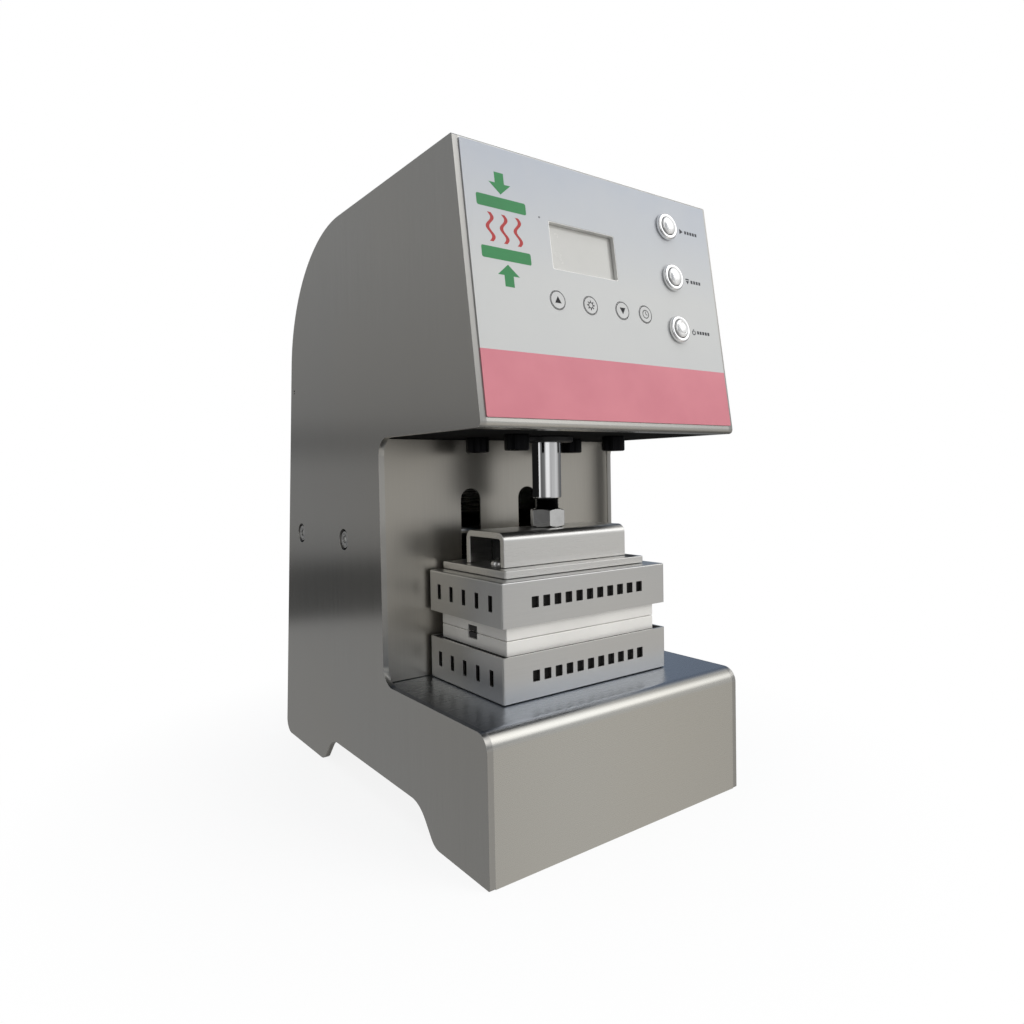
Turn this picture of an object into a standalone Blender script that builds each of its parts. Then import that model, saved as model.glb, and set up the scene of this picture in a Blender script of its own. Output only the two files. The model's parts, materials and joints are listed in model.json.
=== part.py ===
"""Benchtop heated-plate press: a C-shaped steel body, a vertical air ram and two heated platens.

Metres, +Z up. The origin is the middle of the footprint, on the surface that the press stands on.
The front faces -Y. Profile points are (y, z), with y measured back from the front of the base.
"""

import math

import bmesh
import bpy
from mathutils import Matrix, Vector

OBJECT = "plate_press"

# Clearances and tessellation
GAP = 0.0003                    # between faces that touch on the real press
RUN = 0.0003                    # radial running clearance of pins, rods and caps
ARC_TOLERANCE = 0.0001          # how far a facet may lie inside its arc
ROUND = 24                      # sides of a round piece
SMALL_ROUND = 16
POST_ROUND = 12
OVERCUT = 0.001                 # how far a cutter reaches past the face it cuts
FUSE = 0.001                    # how far a boss reaches into the piece it joins

# Body
BODY_WIDTH = 0.210
BODY_DEPTH = 0.318
BODY_HEIGHT = 0.410
SIDE_T = 0.004
SHEET_T = 0.002
DECK_Z = 0.084
HEAD_Z = 0.248                  # underside of the head
THROAT_DEPTH = 0.123
THROAT_FILLET = 0.012
DECK_EDGE_RADIUS = 0.0095
TOP_SETBACK = 0.0238            # how far the control panel leans back at its top
PANEL_BEND = 0.0015
PANEL_FLANGE = 0.014
LIP_RADIUS = 0.003
BACK_LEAN = math.radians(6.27)
BACK_ARC_RADIUS = 0.105
HEEL_RADIUS = 0.010
HEEL_GAP = 0.001                # from the heel's arc to the back sheet's end
TOE_RADIUS = 0.001

# Feet and the arch between them
ARCH_Z = 0.021
ARCH_SLOPE = math.radians(50.0)
FRONT_FOOT = 0.0588
REAR_FOOT = 0.0851
FOOT_RADIUS = 0.012
ARCH_RADIUS = 0.022

# Plates inside the body
HEAD_PLATE_T = 0.008
HEAD_PLATE_BACK = 0.020         # how far it reaches behind the throat wall's face
HEAD_PLATE_EDGE = 0.0004
WALL_RECESS = 0.0006
DECK_BACK = 0.006
SLOT_WIDTH = 0.0166
SLOT_CENTRES = (-0.0331, 0.0178)
SLOT_BOTTOM = 0.128
SLOT_TOP = 0.213
SLOT_ROUNDING = 0.999           # share of the half width

# Cross bars and the bolts that hold them
BAR_RADIUS = 0.010
BAR_Z = 0.177
FRONT_BAR_BEHIND_THROAT = 0.061
REAR_BAR_BEFORE_BACK = 0.0294
SIDE_BOLT_HEAD_R = 0.0065
SIDE_BOLT_HOLE_R = 0.0078
SIDE_BOLT_HEAD_T = 0.0034
SIDE_BOLT_R = 0.004
SIDE_BOLT_LENGTH = 0.020
BOLT_CHAMFER = 0.1              # share of the head's radius
SOCKET_R = 0.52                 # share of the head's radius
SOCKET_FLOOR = 0.45             # share of the head's height

# Control panel, in the panel's own frame: x across, s down from its top edge
OVERLAY_T = 0.0005
OVERLAY_MARGIN = 0.0032
OVERLAY_FOOT = 0.0055           # bare steel below the overlay
WINDOW_X = (-0.0435, 0.0095)
WINDOW_S = (0.0386, 0.0683)
LENS_LAP = 0.003
LENS_T = 0.0015
KEY_R = 0.0057
KEY_XS = (-0.0428, -0.0172, 0.0095, 0.0300)
KEY_S = 0.0872
KEY_PROUD = 0.0004
KEY_TRAVEL = 0.0006
KEY_EDGE = 0.0002
KEY_FLANGE = 0.001
KEY_FLANGE_LAP = 0.001          # how far the flange reaches under the panel
KEY_LASH = 0.0004               # between the flange and the panel
KEY_STEM_R = 0.002
KEY_STEM_LENGTH = 0.0036
BUTTON_X = 0.0601
BUTTON_SS = (0.0231, 0.0586, 0.0943)
BUTTON_BARREL_R = 0.0078
BEZEL_R = 0.009
BEZEL_T = 0.0026
BEZEL_EDGE = 0.0012
BEZEL_MOUTH = 0.0004
BUTTON_CAP_R = 0.006
BUTTON_CAP_SKIRT = 0.008
BUTTON_STEM_R = 0.003
BUTTON_DOME = 0.0016
BUTTON_PROUD = 0.0004
BUTTON_TRAVEL = 0.0015
BUTTON_DEPTH = 0.022
BUTTON_FLOOR_T = 0.004
BOARD_T = 0.0016
BOARD_BEHIND = 0.009
BOARD_MARGIN = 0.009
BOARD_POST_R = 0.002
DISPLAY_INSET = 0.001
SWITCH_BODY_R = 0.003           # half the side of a key's switch

# Ram, cylinder and platens
STACK_CLEARANCE = 0.0028        # between the cages and the throat's depth
STROKE = 0.040
ROD_R = 0.010
ROD_SHOULDER = 0.002            # step down to the neck
ROD_PIN_SHOULDER = 0.004        # step down to the piston's pin
ROD_CHAMFER = 0.001
ROD_PAST_PISTON = 0.003
ROD_PAST_NUT = 0.003
GLAND_WALL = 0.005
GLAND_LIP = 0.0035
GLAND_FLANGE_T = 0.0035
CYL_BORE_R = 0.028
CYL_WALL = 0.004
CAP_T = 0.014
CAP_HALF_X = 0.050
CAP_HALF_Y = 0.033
PISTON_T = 0.014
PISTON_LAND = 0.0008
SEAL_T = 0.005
SEAL_DEPTH = 0.004
PISTON_OFF_CAP = 0.005          # below the piston at the bottom of its stroke
BARREL_SPARE = 0.022            # barrel length beyond the piston and its stroke
MOUNT_BOLT_X = 0.042
MOUNT_BOLT_Y = 0.0228
MOUNT_BOLT_R = 0.005
MOUNT_HEAD_R = 0.008
MOUNT_HEAD_T = 0.010
MOUNT_BOLT_END = 0.003          # thread left below a bolt's end
NUT_WALL = 0.00585              # from the neck to the nut's corners
NUT_CHAMFER = 0.02              # share of the radius that the chamfer passes the nut by
NUT_CHAMFER_SLOPE = 0.55
JAM_NUT_T = 0.0124
LOCK_NUT_T = 0.008
NECK_ABOVE_NUT = 0.0072
BRACKET_END_INSET = 0.007       # inside the mount plate's ends
BRACKET_HALF_Y = 0.022
BRACKET_HEIGHT = 0.0222
BRACKET_WALL = 0.0042
BRACKET_RADIUS = 0.006
MOUNT_PLATE_END_INSET = 0.010   # inside the cage's ends
MOUNT_PLATE_FRONT_INSET = 0.0102
MOUNT_PLATE_BACK_INSET = 0.0012
MOUNT_PLATE_T = 0.0049
MOUNT_PLATE_EDGE = 0.0006
CAGE_ROOM_X = 0.005             # from the platen's end to the cage's inner face
CAGE_ROOM_Y = 0.0037
CAGE_T = 0.0015
CAGE_HEIGHT = 0.0285
UPPER_CAGE_HEIGHT = 0.0277
CAGE_BEND = 0.0016
INSULATOR_INSET_X = 0.0055
INSULATOR_INSET_Y = 0.005
INSULATOR_T = 0.008
PLATEN_HALF_X = 0.0635
PLATEN_HALF_Y = 0.038
PLATEN_T = 0.0266
PLATEN_EDGE = 0.0006
NOTCH_WIDTH = 0.0107
NOTCH_HEIGHT = 0.0042
NOTCH_DEPTH = 0.003
HEATER_R = 0.0048
HEATER_HALF_SPACING = 0.020
HEATER_INSET = 0.002
HEATER_FROM_FACE = 0.64         # share of the platen's thickness, from the pressing face
VENT_PITCH = 0.0153
VENT_WIDTH = 0.0042
VENT_HEIGHT = 0.010
VENT_MARGIN = 0.0035            # from the cage's corner to the first vent's pitch
FRONT_VENT_PITCH = 0.009
FRONT_VENT_WIDTH = 0.0055
FRONT_VENT_HEIGHT = 0.007
FRONT_VENT_MARGIN = 0.020

# Rear connections, in the back's own frame: u across, v up its face from the floor line
REAR_ROW_V = 0.070
INLET_U = 0.040
INLET_HALF = (0.0155, 0.0118)
INLET_BODY_HALF = (0.0135, 0.010)
INLET_CAVITY_HALF = (0.012, 0.008)
INLET_DEPTH = 0.022
INLET_CAVITY = 0.016
FLANGE_T = 0.002
FLANGE_EDGE = 0.0006
SWITCH_U = 0.002
SWITCH_HALF = (0.0078, 0.0115)
SWITCH_BODY_HALF = (0.0066, 0.0100)
SWITCH_CAVITY_HALF = (0.0056, 0.0092)
SWITCH_DEPTH = 0.016
SWITCH_CAVITY = 0.010
ROCKER_HALF = (0.0052, 0.0084)
ROCKER_TILT = math.radians(8.0)
ROCKER_CREST = 0.0032
ROCKER_WAIST = 0.0018
ROCKER_SKIRT = 0.0015
ROCKER_KEEL = 0.0045
ROCKER_EDGE = 0.0003
NIPPLE_U = -0.040
NIPPLE_V = 0.140
NIPPLE_R = 0.0035
NIPPLE_STEP = 0.001
NIPPLE_LENGTH = 0.0118
NIPPLE_TIP = 0.002
NIPPLE_GROOVE = 0.0016
NIPPLE_COLLAR = 0.0034
NIPPLE_THREAD_R = 0.0065
NIPPLE_THREAD = 0.012
NIPPLE_HEX_R = 0.0095
NIPPLE_HEX_T = 0.005

# Electrical and air parts on the bottom plate
CASE_EDGE = 0.0008
SUPPLY_SIZE = (0.105, 0.070, 0.038)
SUPPLY_Y = 0.068
TERMINAL_HALF_X = 0.040
TERMINAL_DEPTH = 0.012
TERMINAL_Z = 0.014
RELAY_SIZE = (0.045, 0.060, 0.024)
RELAY_X = 0.035
RELAY_Y = 0.165
RELAY_TERMINAL_HALF_X = 0.017
RELAY_TERMINAL_DEPTH = 0.010
RELAY_TERMINAL_Z = 0.012
VALVE_SIZE = (0.052, 0.024, 0.046)
VALVE_Y = 0.228
COIL_LENGTH = 0.024
COIL_HALF_Y = 0.010
COIL_Z = (0.016, 0.040)

# Values that follow from the driving dimensions
FRONT_Y = -BODY_DEPTH / 2
INNER_HALF = BODY_WIDTH / 2 - SIDE_T - GAP
PANEL_LEAN = math.atan2(TOP_SETBACK, BODY_HEIGHT - HEAD_Z)
PANEL_LENGTH = math.hypot(TOP_SETBACK, BODY_HEIGHT - HEAD_Z)
HEEL_Y = BODY_DEPTH - HEEL_RADIUS + HEEL_RADIUS / math.cos(BACK_LEAN) + HEEL_RADIUS * math.tan(BACK_LEAN)
WALL_Y = THROAT_DEPTH + WALL_RECESS
FRONT_BAR_Y = THROAT_DEPTH + FRONT_BAR_BEHIND_THROAT
BOTTOM_TOP_Z = ARCH_Z + SHEET_T
OVERLAY_TOP = GAP + OVERLAY_T
HEAD_TOP_Z = HEAD_Z + HEAD_PLATE_T
KEY_HOLE_R = KEY_R + RUN
KEY_FLANGE_TOP = -SHEET_T - KEY_LASH
KEY_STEM_END = KEY_FLANGE_TOP - KEY_FLANGE - KEY_STEM_LENGTH
BUTTON_HOLE_R = BUTTON_BARREL_R + RUN
CAGE_HALF_X = PLATEN_HALF_X + CAGE_ROOM_X + CAGE_T
CAGE_HALF_Y = PLATEN_HALF_Y + CAGE_ROOM_Y + CAGE_T
VENT_COUNT = int(2 * (CAGE_HALF_Y - VENT_MARGIN) / VENT_PITCH)
FRONT_VENT_COUNT = int(2 * (CAGE_HALF_X - FRONT_VENT_MARGIN) / FRONT_VENT_PITCH)
INSULATOR_HALF_X = PLATEN_HALF_X - INSULATOR_INSET_X
INSULATOR_HALF_Y = PLATEN_HALF_Y - INSULATOR_INSET_Y
MOUNT_PLATE_HALF_X = CAGE_HALF_X - MOUNT_PLATE_END_INSET
MOUNT_PLATE_Y = (MOUNT_PLATE_FRONT_INSET - CAGE_HALF_Y, CAGE_HALF_Y - MOUNT_PLATE_BACK_INSET)
BRACKET_HALF_X = MOUNT_PLATE_HALF_X - BRACKET_END_INSET
STACK_Y = THROAT_DEPTH - STACK_CLEARANCE - CAGE_HALF_Y
ROD_NECK_R = ROD_R - ROD_SHOULDER
PISTON_PIN_R = ROD_R - ROD_PIN_SHOULDER
GLAND_R = ROD_R + GLAND_WALL
GLAND_FLANGE_R = GLAND_R + GLAND_LIP
NUT_R = ROD_NECK_R + NUT_WALL   # across corners

# Heights of the cylinder, from the head upwards
CAP_Z = HEAD_TOP_Z + GAP
BARREL_Z = CAP_Z + CAP_T + GAP
BARREL_LENGTH = PISTON_T + STROKE + BARREL_SPARE
REAR_CAP_Z = BARREL_Z + BARREL_LENGTH + GAP
PISTON_Z = BARREL_Z + PISTON_OFF_CAP

# Heights of the closed platen stack, from the deck upwards
LOWER_CAGE_Z = DECK_Z + GAP
LOWER_INSULATOR_Z = LOWER_CAGE_Z + CAGE_T + GAP
LOWER_PLATEN_Z = LOWER_INSULATOR_Z + INSULATOR_T + GAP
UPPER_PLATEN_Z = LOWER_PLATEN_Z + PLATEN_T + GAP
UPPER_INSULATOR_Z = UPPER_PLATEN_Z + PLATEN_T + GAP
UPPER_CAGE_TOP = UPPER_INSULATOR_Z + INSULATOR_T + GAP + CAGE_T
UPPER_CAGE_Z = UPPER_CAGE_TOP - UPPER_CAGE_HEIGHT
MOUNT_PLATE_Z = UPPER_CAGE_TOP + GAP
BRACKET_Z = MOUNT_PLATE_Z + MOUNT_PLATE_T + GAP
BRACKET_TOP = BRACKET_Z + BRACKET_HEIGHT
JAM_NUT_Z = BRACKET_TOP + GAP
LOCK_NUT_Z = BRACKET_TOP - BRACKET_WALL - GAP - LOCK_NUT_T
NECK_TOP = JAM_NUT_Z + JAM_NUT_T + NECK_ABOVE_NUT


def back_y(z):
    """Profile y of the leaning back at height z."""
    return HEEL_Y - z * math.tan(BACK_LEAN)


# ---------------------------------------------------------------- scene set-up


def clear_scene():
    for obj in list(bpy.data.objects):
        bpy.data.objects.remove(obj, do_unlink=True)
    for group in (bpy.data.meshes, bpy.data.curves, bpy.data.materials, bpy.data.collections):
        for item in list(group):
            group.remove(item)


def new_collection(name):
    collection = bpy.data.collections.new(name)
    bpy.context.scene.collection.children.link(collection)
    return collection


def principled(name, colour, roughness, metallic):
    material = bpy.data.materials.new(name)
    material.use_nodes = True
    shader = material.node_tree.nodes["Principled BSDF"]
    shader.inputs["Base Color"].default_value = (*colour, 1.0)
    shader.inputs["Roughness"].default_value = roughness
    shader.inputs["Metallic"].default_value = metallic
    return material


clear_scene()
PARTS = new_collection(OBJECT)
CUTTERS = new_collection(OBJECT + "_cutters")

STEEL = principled("brushed_stainless", (0.52, 0.51, 0.49), 0.32, 1.0)
CHROME = principled("chrome", (0.82, 0.82, 0.83), 0.08, 1.0)
ALUMINIUM = principled("platen_aluminium", (0.80, 0.79, 0.76), 0.38, 1.0)
BLACK_STEEL = principled("black_oxide", (0.03, 0.03, 0.03), 0.40, 1.0)
PRINT = principled("overlay_print", (0.61, 0.61, 0.60), 0.45, 0.0)
CLEAR = principled("window_acrylic", (0.58, 0.57, 0.53), 0.10, 0.0)
BLACK_PLASTIC = principled("black_plastic", (0.02, 0.02, 0.02), 0.45, 0.0)
RUBBER = principled("nitrile_rubber", (0.015, 0.015, 0.015), 0.70, 0.0)
BOARD_GREEN = principled("circuit_board", (0.02, 0.16, 0.07), 0.50, 0.0)
MICA = principled("glass_fibre_board", (0.66, 0.60, 0.45), 0.80, 0.0)
BRASS = principled("nickel_brass", (0.70, 0.62, 0.42), 0.30, 1.0)


# ---------------------------------------------------------------- modelling helpers


def new_object(name, mesh, material=None, smooth=False, cutter=False):
    obj = bpy.data.objects.new(name, mesh)
    (CUTTERS if cutter else PARTS).objects.link(obj)
    if cutter:
        obj.hide_render = True
        obj.display_type = "WIRE"
    if material:
        mesh.materials.append(material)
    if smooth:
        mesh.shade_smooth()
        mesh.set_sharp_from_angle(angle=math.radians(30.0))
    return obj


def mesh_from(name, bm):
    bmesh.ops.recalc_face_normals(bm, faces=bm.faces)
    mesh = bpy.data.meshes.new(name)
    bm.to_mesh(mesh)
    bm.free()
    return mesh


def box(name, low, high, material=None, **options):
    """A block between two corners, which are in the parent's frame."""
    low = Vector(low)
    high = Vector(high)
    bm = bmesh.new()
    bmesh.ops.create_cube(bm, size=1.0)
    bmesh.ops.scale(bm, vec=high - low, verts=bm.verts)
    obj = new_object(name, mesh_from(name, bm), material, **options)
    obj.location = (low + high) / 2
    return obj


def cylinder(name, radius, bottom, length, material=None, sides=ROUND, axis="Z", **options):
    """A round bar that starts at the point `bottom` and runs `length` along the axis."""
    bm = bmesh.new()
    bmesh.ops.create_cone(bm, cap_ends=True, segments=sides, radius1=radius, radius2=radius, depth=length)
    turn = {"X": Matrix.Rotation(math.pi / 2, 4, "Y"), "Z": Matrix.Identity(4)}[axis]
    bmesh.ops.transform(bm, matrix=turn, verts=bm.verts)
    obj = new_object(name, mesh_from(name, bm), material, **options)
    step = {"X": Vector((1, 0, 0)), "Z": Vector((0, 0, 1))}[axis]
    obj.location = Vector(bottom) + step * length / 2
    return obj


def rounded(corners, closed=True):
    """Points of a path whose corners (a, b, radius) are rounded with true arcs."""
    points = []
    count = len(corners)
    for i, (a, b, radius) in enumerate(corners):
        here = Vector((a, b))
        if radius <= 0 or (not closed and i in (0, count - 1)):
            points.append((a, b))
            continue
        before = (Vector(corners[i - 1][:2]) - here).normalized()
        after = (Vector(corners[(i + 1) % count][:2]) - here).normalized()
        half = before.angle(after) / 2
        centre = here + (before + after).normalized() * radius / math.sin(half)
        start = here + before * radius / math.tan(half) - centre
        sweep = start.angle_signed(here + after * radius / math.tan(half) - centre)
        step = 2 * math.acos(1 - min(1.0, ARC_TOLERANCE / radius))
        steps = max(2, math.ceil(abs(sweep) / step))
        for k in range(steps + 1):
            spoke = Matrix.Rotation(-sweep * k / steps, 2) @ start
            points.append((centre.x + spoke.x, centre.y + spoke.y))
    return points


def prism(name, outline, x_from, x_to, material=None, **options):
    """A closed (y, z) outline carried along X."""
    bm = bmesh.new()
    verts = [bm.verts.new((x_from, y, z)) for y, z in outline]
    face = bm.faces.new(verts)
    swept = bmesh.ops.extrude_face_region(bm, geom=[face])["geom"]
    moved = [item for item in swept if isinstance(item, bmesh.types.BMVert)]
    bmesh.ops.translate(bm, vec=(x_to - x_from, 0, 0), verts=moved)
    return new_object(name, mesh_from(name, bm), material, **options)


def folded_sheet(name, path, thickness, material, x_half=INNER_HALF):
    """A bent sheet whose outer face follows the (y, z) path, with its thickness on the inner side."""
    bm = bmesh.new()
    left = [bm.verts.new((-x_half, y, z)) for y, z in path]
    right = [bm.verts.new((x_half, y, z)) for y, z in path]
    for i in range(len(path) - 1):
        bm.faces.new((left[i], right[i], right[i + 1], left[i + 1]))
    mesh = bpy.data.meshes.new(name)
    bm.to_mesh(mesh)
    bm.free()
    obj = new_object(name, mesh, material, smooth=True)
    solidify = obj.modifiers.new("thickness", "SOLIDIFY")
    solidify.thickness = thickness
    solidify.offset = -1.0
    solidify.use_even_offset = True
    return obj


def turned(name, profile, material=None, sides=ROUND, closed=False, **options):
    """A lathe-turned solid: the (r, z) profile runs down the outer side, about the object's Z axis."""
    bm = bmesh.new()
    verts = [bm.verts.new((r, 0, z)) for r, z in profile]
    for i in range(len(verts) - (0 if closed else 1)):
        bm.edges.new((verts[i], verts[(i + 1) % len(verts)]))
    mesh = bpy.data.meshes.new(name)
    bm.to_mesh(mesh)
    bm.free()
    obj = new_object(name, mesh, material, **options)
    screw = obj.modifiers.new("turn", "SCREW")
    screw.steps = sides
    screw.render_steps = sides
    screw.use_merge_vertices = True
    screw.merge_threshold = 0.00001
    screw.use_smooth_shade = False
    return obj


def boolean(target, other, operation="DIFFERENCE"):
    modifier = target.modifiers.new(operation.lower(), "BOOLEAN")
    modifier.operation = operation
    modifier.solver = "EXACT"
    modifier.object = other
    return target


def cut_box(target, low, high, parent=None):
    cutter = box(target.name + "_cut", low, high, cutter=True)
    cutter.parent = parent
    return boolean(target, cutter)


def cut_round(target, radius, bottom, length, parent=None, **options):
    cutter = cylinder(target.name + "_cut", radius, bottom, length, cutter=True, **options)
    cutter.parent = parent
    return boolean(target, cutter)


def add_box(target, low, high, parent=None):
    piece = box(target.name + "_boss", low, high, cutter=True)
    piece.parent = parent
    return boolean(target, piece, "UNION")


def add_round(target, radius, bottom, length, parent=None, **options):
    piece = cylinder(target.name + "_boss", radius, bottom, length, cutter=True, **options)
    piece.parent = parent
    return boolean(target, piece, "UNION")


def soften(obj, width, segments=2):
    bevel = obj.modifiers.new("soft_edges", "BEVEL")
    bevel.width = width
    bevel.segments = segments
    bevel.limit_method = "ANGLE"
    bevel.angle_limit = math.radians(40.0)
    return obj


def frame_empty(name, location, rotation):
    empty = bpy.data.objects.new(name, None)
    PARTS.objects.link(empty)
    empty.empty_display_size = 0.02
    empty.location = location
    empty.rotation_euler = rotation
    return empty


def under(parent, obj):
    obj.parent = parent
    return obj


# Local frames: the panel's (x across, y up the face, z out of it), the back's, and the body's front plane
BODY_FRAME = frame_empty("body_frame", (0, FRONT_Y, 0), (0, 0, 0))
PANEL_FRAME = frame_empty(
    "panel_frame", (0, FRONT_Y + TOP_SETBACK, BODY_HEIGHT), (math.pi / 2 - PANEL_LEAN, 0, 0)
)
BACK_FRAME = frame_empty("back_frame", (0, FRONT_Y + HEEL_Y, 0), (math.pi / 2 - BACK_LEAN, 0, math.pi))
STACK_FRAME = frame_empty("stack_frame", (0, FRONT_Y + STACK_Y, 0), (0, 0, 0))


# ---------------------------------------------------------------- body sheet metal


def side_outline():
    run = ARCH_Z / math.tan(ARCH_SLOPE)
    rear_foot = BODY_DEPTH - REAR_FOOT
    return rounded([
        (0, 0, TOE_RADIUS),
        (FRONT_FOOT, 0, FOOT_RADIUS),
        (FRONT_FOOT + run, ARCH_Z, ARCH_RADIUS),
        (rear_foot - run, ARCH_Z, ARCH_RADIUS),
        (rear_foot, 0, FOOT_RADIUS),
        (HEEL_Y, 0, HEEL_RADIUS),
        (back_y(BODY_HEIGHT), BODY_HEIGHT, BACK_ARC_RADIUS),
        (TOP_SETBACK, BODY_HEIGHT, PANEL_BEND),
        (0, HEAD_Z, LIP_RADIUS),
        (THROAT_DEPTH, HEAD_Z, THROAT_FILLET),
        (THROAT_DEPTH, DECK_Z, THROAT_FILLET),
        (0, DECK_Z, DECK_EDGE_RADIUS),
    ])


def bar_places():
    return {"front": FRONT_BAR_Y, "rear": back_y(BAR_Z) - REAR_BAR_BEFORE_BACK}


def side_plates():
    for side, sign in (("left", -1), ("right", 1)):
        outer = sign * BODY_WIDTH / 2
        inner = sign * (BODY_WIDTH / 2 - SIDE_T)
        plate = under(BODY_FRAME, prism(f"side_plate_{side}", side_outline(), inner, outer, STEEL))
        for y in bar_places().values():
            start = (min(inner, outer) - OVERCUT, y, BAR_Z)
            cut_round(plate, SIDE_BOLT_HOLE_R, start, SIDE_T + 2 * OVERCUT, BODY_FRAME, axis="X")


def base_cover():
    path = rounded([
        (0, 0, 0),
        (0, DECK_Z, DECK_EDGE_RADIUS),
        (THROAT_DEPTH + DECK_BACK, DECK_Z, 0),
    ], closed=False)
    under(BODY_FRAME, folded_sheet("base_cover", path, SHEET_T, STEEL))


def throat_wall():
    low = (-INNER_HALF, WALL_Y, DECK_Z + GAP)
    high = (INNER_HALF, WALL_Y + SHEET_T, HEAD_Z - GAP)
    wall = under(BODY_FRAME, box("throat_wall", low, high, STEEL))
    half = SLOT_WIDTH / 2
    for x in SLOT_CENTRES:
        slot = rounded([
            (x - half, SLOT_BOTTOM, half * SLOT_ROUNDING),
            (x + half, SLOT_BOTTOM, half * SLOT_ROUNDING),
            (x + half, SLOT_TOP, half * SLOT_ROUNDING),
            (x - half, SLOT_TOP, half * SLOT_ROUNDING),
        ])
        cutter = prism("throat_wall_cut", slot, -SHEET_T - OVERCUT, SHEET_T + OVERCUT, cutter=True)
        cutter.parent = BODY_FRAME
        cutter.rotation_euler = (0, 0, -math.pi / 2)
        cutter.location = (0, WALL_Y, 0)
        boolean(wall, cutter)


def control_panel():
    path = rounded([
        (TOP_SETBACK + PANEL_FLANGE, BODY_HEIGHT, 0),
        (TOP_SETBACK, BODY_HEIGHT, PANEL_BEND),
        (0, HEAD_Z, LIP_RADIUS),
        (PANEL_FLANGE, HEAD_Z, 0),
    ], closed=False)
    path.reverse()
    panel = under(BODY_FRAME, folded_sheet("control_panel", path, SHEET_T, STEEL))
    cut_panel_holes(panel, -SHEET_T - OVERCUT, OVERCUT)


def cut_panel_holes(target, z_low, z_high):
    """The window, key and button holes, in the panel's frame."""
    low = (WINDOW_X[0], -WINDOW_S[1], z_low)
    high = (WINDOW_X[1], -WINDOW_S[0], z_high)
    cut_box(target, low, high, PANEL_FRAME)
    through = z_high - z_low
    for x in KEY_XS:
        cut_round(target, KEY_HOLE_R, (x, -KEY_S, z_low), through, PANEL_FRAME, sides=SMALL_ROUND)
    for s in BUTTON_SS:
        cut_round(target, BUTTON_HOLE_R, (BUTTON_X, -s, z_low), through, PANEL_FRAME, sides=SMALL_ROUND)


def top_back_cover():
    end_z = HEEL_RADIUS * (1 + math.sin(BACK_LEAN)) + HEEL_GAP
    path = rounded([
        (TOP_SETBACK + PANEL_FLANGE + GAP, BODY_HEIGHT, 0),
        (back_y(BODY_HEIGHT), BODY_HEIGHT, BACK_ARC_RADIUS),
        (back_y(end_z), end_z, 0),
    ], closed=False)
    cover = under(BODY_FRAME, folded_sheet("top_back_cover", path, SHEET_T, STEEL))
    depth = SHEET_T + OVERCUT
    for u, half in ((INLET_U, INLET_BODY_HALF), (SWITCH_U, SWITCH_BODY_HALF)):
        low = (u - half[0] - RUN, REAR_ROW_V - half[1] - RUN, -depth)
        high = (u + half[0] + RUN, REAR_ROW_V + half[1] + RUN, depth)
        cut_box(cover, low, high, BACK_FRAME)
    cut_round(cover, NIPPLE_THREAD_R + RUN, (NIPPLE_U, NIPPLE_V, -depth), 2 * depth, BACK_FRAME)


def bottom_plate():
    end = back_y(BOTTOM_TOP_Z) - (SHEET_T + GAP) / math.cos(BACK_LEAN)
    low = (-INNER_HALF, SHEET_T + GAP, ARCH_Z)
    under(BODY_FRAME, box("bottom_plate", low, (INNER_HALF, end, BOTTOM_TOP_Z), STEEL))


def head_plate():
    low = (-INNER_HALF, PANEL_FLANGE + GAP, HEAD_Z)
    high = (INNER_HALF, WALL_Y + HEAD_PLATE_BACK, HEAD_TOP_Z)
    plate = under(BODY_FRAME, box("head_plate", low, high, STEEL))
    soften(plate, HEAD_PLATE_EDGE, 1)
    low = HEAD_Z - OVERCUT
    through = HEAD_PLATE_T + 2 * OVERCUT
    cut_round(plate, GLAND_R + RUN, (0, 0, low), through, STACK_FRAME)
    for x, y in mount_bolt_places():
        cut_round(plate, MOUNT_BOLT_R + RUN, (x, y, low), through, STACK_FRAME, sides=SMALL_ROUND)


def cross_bars():
    for place, y in bar_places().items():
        end = (-INNER_HALF, y, BAR_Z)
        bar = cylinder(f"cross_bar_{place}", BAR_RADIUS, end, 2 * INNER_HALF, STEEL, axis="X", smooth=True)
        under(BODY_FRAME, bar)
        depth = SIDE_BOLT_LENGTH + 2 * GAP
        for start in (-INNER_HALF - OVERCUT, INNER_HALF - depth):
            hole = (start, y, BAR_Z)
            cut_round(bar, SIDE_BOLT_R + RUN, hole, depth + OVERCUT, BODY_FRAME, axis="X", sides=SMALL_ROUND)


def socket_bolt(name, head_r, head_t, shank_r, length, material):
    """A socket head bolt along Z: the head stands above z = 0 and the shank hangs below."""
    chamfer = head_r * BOLT_CHAMFER
    bolt = turned(name, [
        (0, head_t),
        (head_r - chamfer, head_t),
        (head_r, head_t - chamfer),
        (head_r, 0),
        (shank_r, 0),
        (shank_r, -length),
        (0, -length),
    ], material, sides=SMALL_ROUND)
    floor = (0, 0, head_t * SOCKET_FLOOR)
    socket = cylinder(name + "_cut", head_r * SOCKET_R, floor, head_t, sides=6, cutter=True)
    socket.parent = bolt
    return boolean(bolt, socket)


def side_bolts():
    for side, sign in (("left", -1), ("right", 1)):
        for place, y in bar_places().items():
            bolt = socket_bolt(
                f"side_bolt_{side}_{place}",
                SIDE_BOLT_HEAD_R,
                SIDE_BOLT_HEAD_T,
                SIDE_BOLT_R,
                SIDE_BOLT_LENGTH,
                STEEL,
            )
            under(BODY_FRAME, bolt)
            bolt.location = (sign * (INNER_HALF + GAP), y, BAR_Z)
            bolt.rotation_euler = (0, sign * math.pi / 2, 0)


# ---------------------------------------------------------------- control panel


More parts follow.
